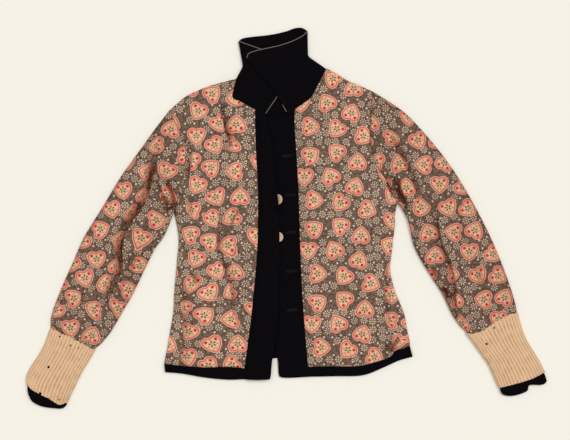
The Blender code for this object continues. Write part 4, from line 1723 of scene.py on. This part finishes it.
def tube_plan(name: str, up: Array, across: Array, start: Points, end: Points) -> Array:
    """Plan of a flattened tube: rows from the body to the hand, columns from its outer to its inner edge.

    Args:
        name: the tube's row in TUBES.
        up: the rows' stations.
        across: the columns' stations.
        start: the line that the first row follows, from the outer edge.
        end: the line that the last row follows.

    Returns:
        Plan points as rows, columns and x, y.
    """
    sections = TUBES[name]
    outer = curve([(section.outer_x, section.outer_y) for section in sections], up)
    inner = curve([(section.inner_x, section.inner_y) for section in sections], up)
    return ruled(outer, inner, across, start, end)


def round_tube(upper: Array, lower: Array) -> Array:
    """Join the grid over the top of a tube to the one under it, which is read back to the first edge."""
    return np.concatenate((upper, lower[:, -2::-1]), axis=1)


def tube_cut(plan: Array) -> Array:
    """Chart a flattened tube all round.

    Args:
        plan: points as rows, columns and x, y.

    Returns:
        Lengths from its middle line over the inner edge and back below, and along it, in mm.
    """
    middle = (plan[:, 0] + plan[:, -1]) / 2
    along = travelled(middle)
    axis = unit(np.gradient(middle, axis=0))[:, None]
    offset = plan - middle[:, None]
    beside = (offset * (axis[..., ::-1] * (-1, 1))).sum(-1)
    beside = beside * np.sign((beside[:, -1:] - beside[:, :1]).mean())
    ahead = along[:, None] + (offset * axis).sum(-1)
    under = 2 * beside[:, -1:] - beside
    return round_tube(np.stack((beside, ahead), -1), np.stack((under, ahead), -1))


@dataclass
class Sleeve:
    """One sleeve of the lining, a tube laid flat from the armhole to the cuff."""

    side: Side
    tone: float
    rows: int = 150
    columns: int = 64
    # How far the sleeve bellies up, and how far in from its edges and its two ends.
    crown: float = 2.6
    edge_dome: float = 55.0
    end_dome: float = 60.0
    # How far in folds are calmed at the armhole and the edges, and at the cuff, from a little outside them.
    calm: float = 16.0
    calm_start: float = 3.0
    cuff_calm: float = 24.0
    cuff_start: float = 4.0
    # Before the cuff the tube slims, and its top comes down to a little above the wool.
    cuff_reach: float = 22.0
    cuff_slim: float = 2.2
    over_wool: float = 0.8
    # Share of the body's roll at the edges, and how dark and how far in the painted shade along them is.
    edge_roll: float = 0.7
    edge_tone: float = 0.3
    edge_reach: float = 5.0

    def build(self, finishes: Finishes) -> None:
        """Lay the tube, with its folds on top and its underside flat.

        Args:
            finishes: the jacket's finishes.
        """
        name = f"sleeve_{self.side.value}"
        up, across = np.linspace(0, 1, self.rows), spread(self.columns)
        armhole = SEAMS[f"armhole_{self.side.value}"][::-1]
        plan = tube_plan(name, up, across, armhole, SEAMS[f"cuff_{self.side.value}"])
        edge = from_edges(plan, across)
        from_armhole, from_cuff = span(plan - plan[:1]), span(plan - plan[-1:])
        lie = fold_up(plan, FOLDS[name])
        start = self.calm_start
        calm = ease((from_armhole + start) / self.calm) * ease((edge + start) / self.calm)
        calm = calm * ease((from_cuff + self.cuff_start) / self.cuff_calm)
        dome = rolled(from_armhole, self.end_dome) * rolled(from_cuff, self.end_dome)
        dome = dome * rolled(edge, self.edge_dome)
        top = LEVELS.lining + (self.crown * dome + lie.height) * calm - LEVELS.sunk(from_armhole)
        slim = ease(1 - from_cuff / self.cuff_reach)
        top = top + (LEVELS.wool + self.over_wool - top) * slim
        base = LEVELS.sunk(from_armhole) / 2 + self.cuff_slim * slim
        share = rolled(edge, LEVELS.roll * self.edge_roll)
        cut = tube_cut(plan)
        printed = PRINT_LAYS[name].chart(round_tube(plan + lie.shift, 2 * plan[:, -1:] - plan))
        inwards = unit(plan[:, -1:] - plan[:, :1])
        plan = plan + inwards * (self.cuff_slim * slim * (1 - 2 * across))[..., None]
        upper = raised(plan, LEVELS.seam + (top - LEVELS.seam) * share)
        lower = raised(plan, LEVELS.seam - (LEVELS.seam - base) * share)
        # Painted shade along the edges, where the tube turns under, over the even tone and the folds' painted
        # shade.
        soil = toned_and_shaded(lie, self.tone) + self.edge_tone * np.exp(-edge / self.edge_reach)
        cloth = Cloth(
            f"lining_{name}", round_tube(upper, lower), cut, LEVELS.lining_wall, tube=True,
            soil=round_tube(soil, soil), printed=printed,
        )
        piece = cloth.build(finishes.lining, finishes.wool, Slot.LINING, name)
        cloth.declare(piece, ["lining_back"])


@dataclass
class Cuff:
    """One rib-knit cuff: a ribbed tube whose head laps over the lining, worn through in places."""

    side: Side
    holes: Points = ()
    ribs: int = 32
    rib_steps: int = 7
    rows: int = 100
    wall: float = 1.6
    # The head laps over the lining the way it comes from a row below, uneven by its scallops, and is flat
    # before the ribs start.
    aim_row: int = 5
    outer_lap: float = 2.0
    inner_lap: float = 0.5
    lap_power: int = 8
    scallop: float = 1.2
    head: float = 13.0
    # The ribs' depth, how far they die out at the edges, their wander and their crowding there.
    depth: float = 0.45
    rib_calm: float = 3.0
    wander: float = 0.06
    crowding: float = 0.25
    # The top's level, how far it bellies up, and how far in that, the ripples and the roll come to rest.
    foot_level: float = 8.8
    crown: float = 1.8
    dome: float = 40.0
    ripple_calm: float = 9.0
    edge_roll: float = 5.6
    # How far the knit shows wear over the flat head, and how dark and how far in the painted shade down the
    # outer edge is.
    head_faded: float = 0.55
    browned: float = 0.0
    brown_reach: float = 45.0
    pitch: float = RibKnit.pitch

    def build(self, finishes: Finishes) -> None:
        """Lay the tube, ribbed along its length below a flat scalloped head that laps over the lining.

        Args:
            finishes: the jacket's finishes.
        """
        name = f"cuff_{self.side.value}"
        half = self.ribs // 2
        even = np.linspace(0, 1, half * self.rib_steps + 1)
        up, across = np.linspace(0, 1, self.rows), spread(len(even), self.crowding)
        plan = tube_plan(name, up, across, SEAMS[name], EDGES[name])
        wander = self.wander * np.sin(7 * up[:, None] + 5 * even) * np.sin(math.pi * even)
        rib = half * even + wander
        comb = np.cos(2 * math.pi * rib)
        heading = unit(plan[0] - plan[self.aim_row])
        scallop = 0.5 * comb + self.scallop * np.abs(np.sin(20 * even + 1.4 * np.sin(9 * even)))
        lap = self.outer_lap + (self.inner_lap - self.outer_lap) * even
        reach = (1 - up[:, None]) ** self.lap_power * (lap + scallop)
        plan = plan + reach[..., None] * heading
        edge = from_edges(plan, across)
        height = fold_up(plan, (Ripple(48, 0.5, 71), Ripple(17, 0.18, 72))).height
        belly = self.crown * np.sin(math.pi * up[:, None]) * rolled(edge, self.dome)
        top = self.foot_level + belly + height * ease(edge / self.ripple_calm)
        share = rolled(edge, self.edge_roll)
        flat = 1 - ease(span(plan - plan[:1]) / self.head)
        depth = self.depth * ease(edge / self.rib_calm)
        middle = self.foot_level / 2
        upper = raised(plan, middle + (top - middle) * share + depth * comb * (1 - flat))
        lower = raised(plan, middle - middle * share + depth * (1 - comb) / 2)
        along = tube_cut(plan)[..., 1]
        cut = np.stack((round_tube(rib, self.ribs - rib) * self.pitch, along), -1)
        from_outer = across * span(plan[:, -1] - plan[:, 0])[:, None]
        # Painted shade down the outer edge, mixed with the head's wear.
        brown = self.browned * (1 - ease(from_outer / self.brown_reach))
        faded_and_shaded = self.head_faded * flat + brown * (1 - flat)
        cloth = Cloth(
            f"knit_{name}", round_tube(upper, lower), cut, self.wall, tube=True, holes=self.holes,
            soil=round_tube(faded_and_shaded, faded_and_shaded),
        )
        piece = cloth.build(finishes.knit, finishes.knit, Slot.KNIT, name)
        cloth.declare(piece, [f"lining_sleeve_{self.side.value}", f"wool_sleeve_end_{self.side.value}"])


@dataclass
class SleeveEnd:
    """The wool end of a sleeve inside its cuff, a soft tube that closes at its tip."""

    side: Side
    rows: int = 80
    columns: int = 44
    wall: float = 1.2
    top: float = 7.2
    base: float = 1.8
    edge_roll: float = 4.0
    tip_roll: float = 5.0

    def build(self, finishes: Finishes) -> None:
        """Lay the tube from inside the cuff's head out to its tip.

        Args:
            finishes: the jacket's finishes.
        """
        name = f"sleeve_end_{self.side.value}"
        up, across = np.linspace(0, 1, self.rows), spread(self.columns)
        plan = tube_plan(name, up, across, (), EDGES[name])
        edge, from_tip = from_edges(plan, across), span(plan - plan[-1:])
        height = fold_up(plan, (Ripple(30, 0.5, 81),)).height
        middle = (self.top + self.base) / 2
        share = np.minimum(rolled(edge, self.edge_roll), rolled(from_tip, self.tip_roll))
        upper = raised(plan, middle + (self.top + height - middle) * share)
        lower = raised(plan, middle - (middle - self.base) * share)
        cloth = Cloth(f"wool_{name}", round_tube(upper, lower), tube_cut(plan), self.wall, tube=True)
        piece = cloth.build(finishes.wool, finishes.wool, Slot.WOOL, name)
        cloth.declare(piece, [f"knit_cuff_{self.side.value}"])


@dataclass
class Bead:
    """A thin round cord along a path, for edgings and stitched holes."""

    name: str
    path: Array
    radius: float
    sides: int = 8
    tip: float = 0.1

    def build(self, material: bpy.types.Material, slot: Slot) -> bpy.types.Object:
        """Make the cord with tapered ends.

        Args:
            material: its finish.
            slot: the record's slot of that finish.

        Returns:
            The finished object.
        """
        heading = unit(np.gradient(self.path, axis=0))
        beside = unit(np.cross(heading, (0, 0, 1)))
        above = np.cross(beside, heading)
        along = travelled(self.path)
        taper = rolled(np.minimum(along, along[-1] - along), 2 * self.radius)
        size = self.radius * (self.tip + (1 - self.tip) * taper)[:, None, None]
        angle = np.linspace(0, 2 * math.pi, self.sides + 1)
        cosine, sine = np.cos(angle)[None, :, None], np.sin(angle)[None, :, None]
        place = self.path[:, None] + size * (cosine * beside[:, None] + sine * above[:, None])
        place[:, -1] = place[:, 0]
        cut = np.stack(np.broadcast_arrays(along[:, None], angle[None, :] * self.radius), -1)
        return Cloth(self.name, place, cut, 0, tube=True).build(material, material, slot)


# Columns of each collar half whose front edge shows its edging: the pale cord ends where the edge turns from
# the light, so up the front it is also a painted highlight.
LIT_EDGING_COLUMNS: dict[Side, int] = {Side.LEFT: 20, Side.RIGHT: 11}


@dataclass
class Collar:
    """One half of the wool collar: its front, the fold at the side and its part of the back."""

    side: Side
    front_rows: int = 100
    back_rows: int = 60
    columns: int = 44
    tongue: float = 7.0
    waist_share: float = 0.4
    bend: float = 0.06
    fold: float = 6.0
    base: float = 0.3
    # The collar stands above the facings, and its right half above the left one, past its edge.
    back_stand: float = 1.3
    stand: float = 1.2
    rise_reach: float = 14.0
    overlap: float = 2.7
    overlap_reach: float = 25.0
    # The edging is sunk a little into the collar's edge.
    edging_radius: float = 0.8
    edging_sink: float = 0.3

    def lines(self, edge: str) -> Array:
        """One line of the collar, round its front and on to the middle of the back.

        Args:
            edge: foot, waist or top.

        Returns:
            A point for each row.
        """
        name = self.side.value
        front = EDGES[f"collar_{edge}_{name}"]
        back = SEAMS["neck_back"] if edge == "foot" else EDGES[f"collar_back_{edge}"]
        if edge == "foot":
            front = (*front, *SEAMS[f"neck_{name}"][1:])
        if self.side is Side.RIGHT:
            back = back[::-1]
        ahead = curve(front, np.linspace(0, 1, self.front_rows))
        behind = curve(back, np.linspace(0, 0.5, self.back_rows))
        return np.vstack((ahead, behind[1:]))

    def build(self, finishes: Finishes) -> None:
        """Lay the half collar and sew its edging on.

        Args:
            finishes: the jacket's finishes.
        """
        name = self.side.value
        up, waist, bend = spread(self.columns)[None, :, None], self.waist_share, self.bend
        bent = (up - waist + bend) ** 2 / (4 * bend)
        above = np.where(np.abs(up - waist) < bend, bent, np.maximum(up - waist, 0))
        to_waist, to_top = (up - above) / waist, above / (1 - waist)
        weights = (1 - to_waist, to_waist - to_top, to_top)
        lines = (self.lines("foot"), self.lines("waist"), self.lines("top"))
        plan = with_tongue(sum(line[:, None] * weight for line, weight in zip(lines, weights)), self.tongue)
        from_neck = span(plan - plan[:, TONGUE, None])
        from_neck[:, :TONGUE] = 0
        from_fold = span(plan - plan[self.front_rows - 1])
        rise = ease(from_neck / self.rise_reach)
        top = LEVELS.wool + self.stand * rise
        if self.side is Side.RIGHT:
            corners = np.array([EDGES[f"collar_{edge}_left"][0] for edge in ("foot", "waist", "top")])
            left_edge = np.interp(plan[..., 1], corners[:, 1], corners[:, 0])
            over = (left_edge + self.overlap_reach - plan[..., 0]) / self.rise_reach
            top = top + self.overlap * ease(over) * rise
        height = fold_up(plan, (Ripple(46, 0.5, 91), Ripple(20, 0.2, 92))).height
        share = rolled(from_fold, self.fold)
        front = LEVELS.seam + (top + height * rise - LEVELS.seam) * share
        behind = LEVELS.seam - (LEVELS.seam - self.base - self.back_stand * (1 - rise)) * share
        is_front = (np.arange(len(plan)) < self.front_rows)[:, None]
        place = raised(plan, np.where(is_front, front, behind))
        cloth = Cloth(f"wool_collar_{name}", place, straightened(plan), LEVELS.wool_wall)
        piece = cloth.build(finishes.wool, finishes.wool, Slot.WOOL, f"collar_{name}")
        trims = []
        for number, path in enumerate(self.edging(place), start=1):
            bead = Bead(f"collar_edging_{name}_{number}", path, self.edging_radius)
            trims.append(bead.build(finishes.edging, Slot.WOOL))
        cloth.declare(piece, ["lining_back"], trims)

    def edging(self, place: Array) -> list[Array]:
        """Paths of the pale edging that shows along the collar's top and up its front, where it is also a
        painted highlight on the lit part of the edge.

        Args:
            place: the collar's grid of points.

        Returns:
            The points of each path.
        """
        sunk = place - (0, 0, self.edging_sink)
        top = sunk[: self.front_rows, -1]
        front = sunk[0, TONGUE:][: LIT_EDGING_COLUMNS[self.side]]
        return [top if self.side is Side.LEFT else top[::-1], front]


@dataclass
class Buttonhole:
    """A worked buttonhole: a stadium of close silk stitches round a slit."""

    number: int
    x: float
    y: float
    half_length: float = 9.0
    half_gap: float = 1.4
    slant: float = 0.1
    radius: float = 0.6
    stand: float = 0.2
    steps: int = 60

    def build(self, finishes: Finishes, facing: Cloth) -> bpy.types.Object:
        """Sew the stitches on the facing.

        Args:
            finishes: the jacket's finishes.
            facing: the cloth that they are sewn on.

        Returns:
            The finished object.
        """
        end, gap = self.half_length, self.half_gap
        straight = end - 1
        outline = (
            (-end, 0), (-straight, gap), (straight, gap), (end, 0), (straight, -gap), (-straight, -gap),
            (-end, 0),
        )
        ring = turned(curve(outline, np.linspace(0, 1, self.steps)), self.slant) + (self.x, self.y)
        spots = facing.place.reshape(-1, 3)
        nearest_spot = ((spots[None, :, :2] - ring[:, None]) ** 2).sum(-1).argmin(1)
        level = spots[nearest_spot, 2].mean()
        path = raised(ring, np.full(len(ring), level + self.stand))
        bead = Bead(f"buttonhole_stitching_{self.number}", path, self.radius)
        return bead.build(finishes.thread, Slot.WOOL)


@dataclass
class Button:
    """A turned horn button with a raised rim, a dished face and four holes."""

    number: int
    x: float
    y: float
    tilt: float
    level: float
    radius: float = 10.0
    half_thick: float = 1.7
    dish: float = 0.7
    # Radii of a hole's inner side, middle and outer side, and half of its turn (rad).
    hole_ring: tuple[float, float, float] = (1.7, 2.6, 3.5)
    hole_turn: float = 0.33
    steps: int = 48
    sharp: float = math.radians(50)

    def build(self, finishes: Finishes) -> None:
        """Turn the button, drill it and lay it under the front's edge.

        Args:
            finishes: the jacket's finishes.
        """
        top, rim = self.half_thick, self.radius
        face = top - self.dish
        inner = [(0.0, face), *((r, face) for r in self.hole_ring), (0.66 * rim, face + 0.1)]
        outer = [
            (0.8 * rim, top), (0.92 * rim, top - 0.05), (rim, top - 0.9), (rim, 0.6 - top), (0.9 * rim, -top),
        ]
        under = [(0.66 * rim, -top), *((r, -top) for r in reversed(self.hole_ring)), (0.0, -top)]
        shape = bmesh.new()
        verts = [shape.verts.new((r * MM, 0, z * MM)) for r, z in inner + outer + under]
        edges = [shape.edges.new(pair) for pair in zip(verts, verts[1:])]
        bmesh.ops.spin(
            shape, geom=verts + edges, cent=(0, 0, 0), axis=(0, 0, 1), angle=2 * math.pi, steps=self.steps,
            use_merge=True,
        )
        bmesh.ops.remove_doubles(shape, verts=shape.verts, dist=WELD)
        self.drill(shape)
        bmesh.ops.recalc_face_normals(shape, faces=shape.faces)
        middle = Vector((*((np.array((self.x, self.y)) - PLAN_ORIGIN) * MM), self.level * MM))
        lean = Matrix.Translation(middle) @ Matrix.Rotation(self.tilt, 4, "Y")
        bmesh.ops.transform(shape, matrix=lean, verts=shape.verts)
        mesh = bpy.data.meshes.new(f"horn_button_{self.number}")
        shape.to_mesh(mesh)
        shape.free()
        mesh.shade_smooth()
        mesh.set_sharp_from_angle(angle=self.sharp)
        mesh.materials.append(finishes.horn)
        settle(put_in_scene(mesh.name, mesh), Slot.HORN, f"button_{self.number}")

    def drill(self, shape: bmesh.types.BMesh) -> None:
        """Open four holes through the dish, half way between its quarters.

        Args:
            shape: the button's mesh.
        """
        low, _, high = self.hole_ring
        for quarter in range(4):
            heading = math.pi / 4 + quarter * math.pi / 2
            lost = []
            for face in shape.faces:
                centre = face.calc_center_median()
                turn = math.remainder(math.atan2(centre.y, centre.x) - heading, 2 * math.pi)
                if low * MM < centre.xy.length < high * MM and abs(turn) < self.hole_turn:
                    lost.append(face)
            edges = [edge for face in lost for edge in face.edges]
            rim = [edge for edge in edges if sum(face in lost for face in edge.link_faces) == 1]
            bmesh.ops.delete(shape, geom=lost, context="FACES_KEEP_BOUNDARY")
            bmesh.ops.bridge_loops(shape, edges=rim)


class Fastening(NamedTuple):
    """Places, in mm, of a button under the left front and of its buttonhole in the right facing.

    A button that is turned up on its edge also has its tilt, in radians, and the height of its middle.
    """

    button_x: float
    button_y: float
    hole_x: float
    hole_y: float
    tilt: float = 0.0
    level: float = 7.1


FASTENINGS: tuple[Fastening, ...] = (
    Fastening(-37, 114, 2, 124),
    Fastening(-15.8, 37, 9, 46, 0.68, 13.6),
    Fastening(-15.5, -38, 10, -29),
    Fastening(-26, -114, 11, -106),
    Fastening(-29, -190, 12, -184),
)
# Worn holes in the knit: place and radius, in mm.
CUFF_HOLES: dict[Side, Points] = {
    Side.LEFT: (
        (-473, -297, 2.6), (-430, -254, 2.0), (-451, -236, 1.8), (-414, -259, 1.4), (-453, -362, 1.8),
        (-474, -359, 1.3), (-413, -283, 1.0), (-392, -274, 1.0), (-490, -350, 2.6),
    ),
    Side.RIGHT: ((400, -251, 2.4), (415, -219, 2.0)),
}


@dataclass
class Studio:
    """A pale paper table, soft light from above and a camera that looks straight down, in metres."""

    paper: str = "#f6f3ea"
    camera_height: float = 2.7
    frame_width: float = 1.14
    centre: tuple[float, float] = (-0.0016, -0.0041)
    # The camera's sensor (mm) and the lights' spread (rad).
    sensor: float = 36.0
    softness: float = 0.55
    sky: str = "#fffdf8"
    sky_strength: float = 0.488
    # Half the table's side, and how far it lies under the cloth.
    table_half: float = 4.0
    table_drop: float = 0.0006

    def build(self) -> None:
        """Set the table, the lights and the camera."""
        shape = bmesh.new()
        bmesh.ops.create_grid(shape, x_segments=1, y_segments=1, size=self.table_half)
        mesh = bpy.data.meshes.new("table")
        shape.to_mesh(mesh)
        shape.free()
        mesh.transform(Matrix.Translation((0, 0, -self.table_drop)))
        material, _, shader = Finish("pale paper", roughness=1.0, specular=0.0).start()
        shader.inputs["Base Color"].default_value = linear(self.paper)
        mesh.materials.append(material)
        table = put_in_scene("table", mesh)
        self.light("key", (0.9, 0.8, 2.0), 1.45)
        self.light("fill", (-0.8, 0.3, 2.0), 0.4)
        world = bpy.data.worlds.new("studio")
        world.use_nodes = True
        backdrop = world.node_tree.nodes["Background"]
        backdrop.inputs["Color"].default_value = linear(self.sky)
        backdrop.inputs["Strength"].default_value = self.sky_strength
        bpy.context.scene.world = world
        bpy.context.scene.view_settings.view_transform = "Standard"
        camera = bpy.data.cameras.new("camera")
        camera.sensor_width = self.sensor
        camera.lens = self.sensor * self.camera_height / self.frame_width
        eye = put_in_scene("camera", camera)
        eye.location = (*self.centre, self.camera_height)
        bpy.context.scene.camera = eye

    def light(self, name: str, place: tuple[float, float, float], power: float) -> None:
        """Hang a wide, distant softbox that faces the table's middle and lights it evenly.

        Args:
            name: the light's name.
            place: the direction that it shines from.
            power: its light on a surface square to it, in watts to the square metre.
        """
        lamp = bpy.data.lights.new(name, "SUN")
        lamp.angle = self.softness
        lamp.energy = power
        holder = put_in_scene(name, lamp)
        holder.location = place
        holder.rotation_euler = (-Vector(place)).to_track_quat("-Z", "Y").to_euler()


def main() -> None:
    """Build the jacket on its frame, piece by piece."""
    logging.basicConfig(level=logging.INFO, format="%(name)s: %(message)s")
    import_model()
    Studio().build()
    finishes = Finishes()
    BackPanel().build(finishes)
    band = HemBand("hem_back", SEAMS["hem_back"], EDGES["hem_back"], low=1.4, high=0.0, face_up=False)
    band.build(finishes)
    sleeves = (Sleeve(Side.LEFT, tone=0.2), Sleeve(Side.RIGHT, tone=0.24))
    cuffs = (
        Cuff(Side.LEFT, CUFF_HOLES[Side.LEFT], inner_lap=-1.5, scallop=2.2, browned=0.35),
        Cuff(Side.RIGHT, CUFF_HOLES[Side.RIGHT]),
    )
    for side, sleeve, cuff in zip(Side, sleeves, cuffs):
        FrontPanel(side).build(finishes)
        hem = f"hem_{side.value}"
        band = HemBand(f"hem_front_{side.value}", SEAMS[hem], EDGES[hem], LEVELS.seam, LEVELS.wool)
        band.build(finishes)
        sleeve.build(finishes)
        SleeveEnd(side).build(finishes)
        cuff.build(finishes)
        Collar(side).build(finishes)
    left_cloth, left_facing = Facing(Side.LEFT, lift=5.0).build(finishes)
    left_cloth.declare(left_facing, ["wool_facing_right"])
    right_cloth, right_facing = Facing(Side.RIGHT, lift=-1.0).build(finishes)
    stitches = []
    for number, place in enumerate(FASTENINGS, start=1):
        Button(number, place.button_x, place.button_y, -place.tilt, place.level).build(finishes)
        stitches.append(Buttonhole(number, place.hole_x, place.hole_y).build(finishes, right_cloth))
    right_cloth.declare(right_facing, ["lining_back"], stitches)


if __name__ == "__main__":
    main()
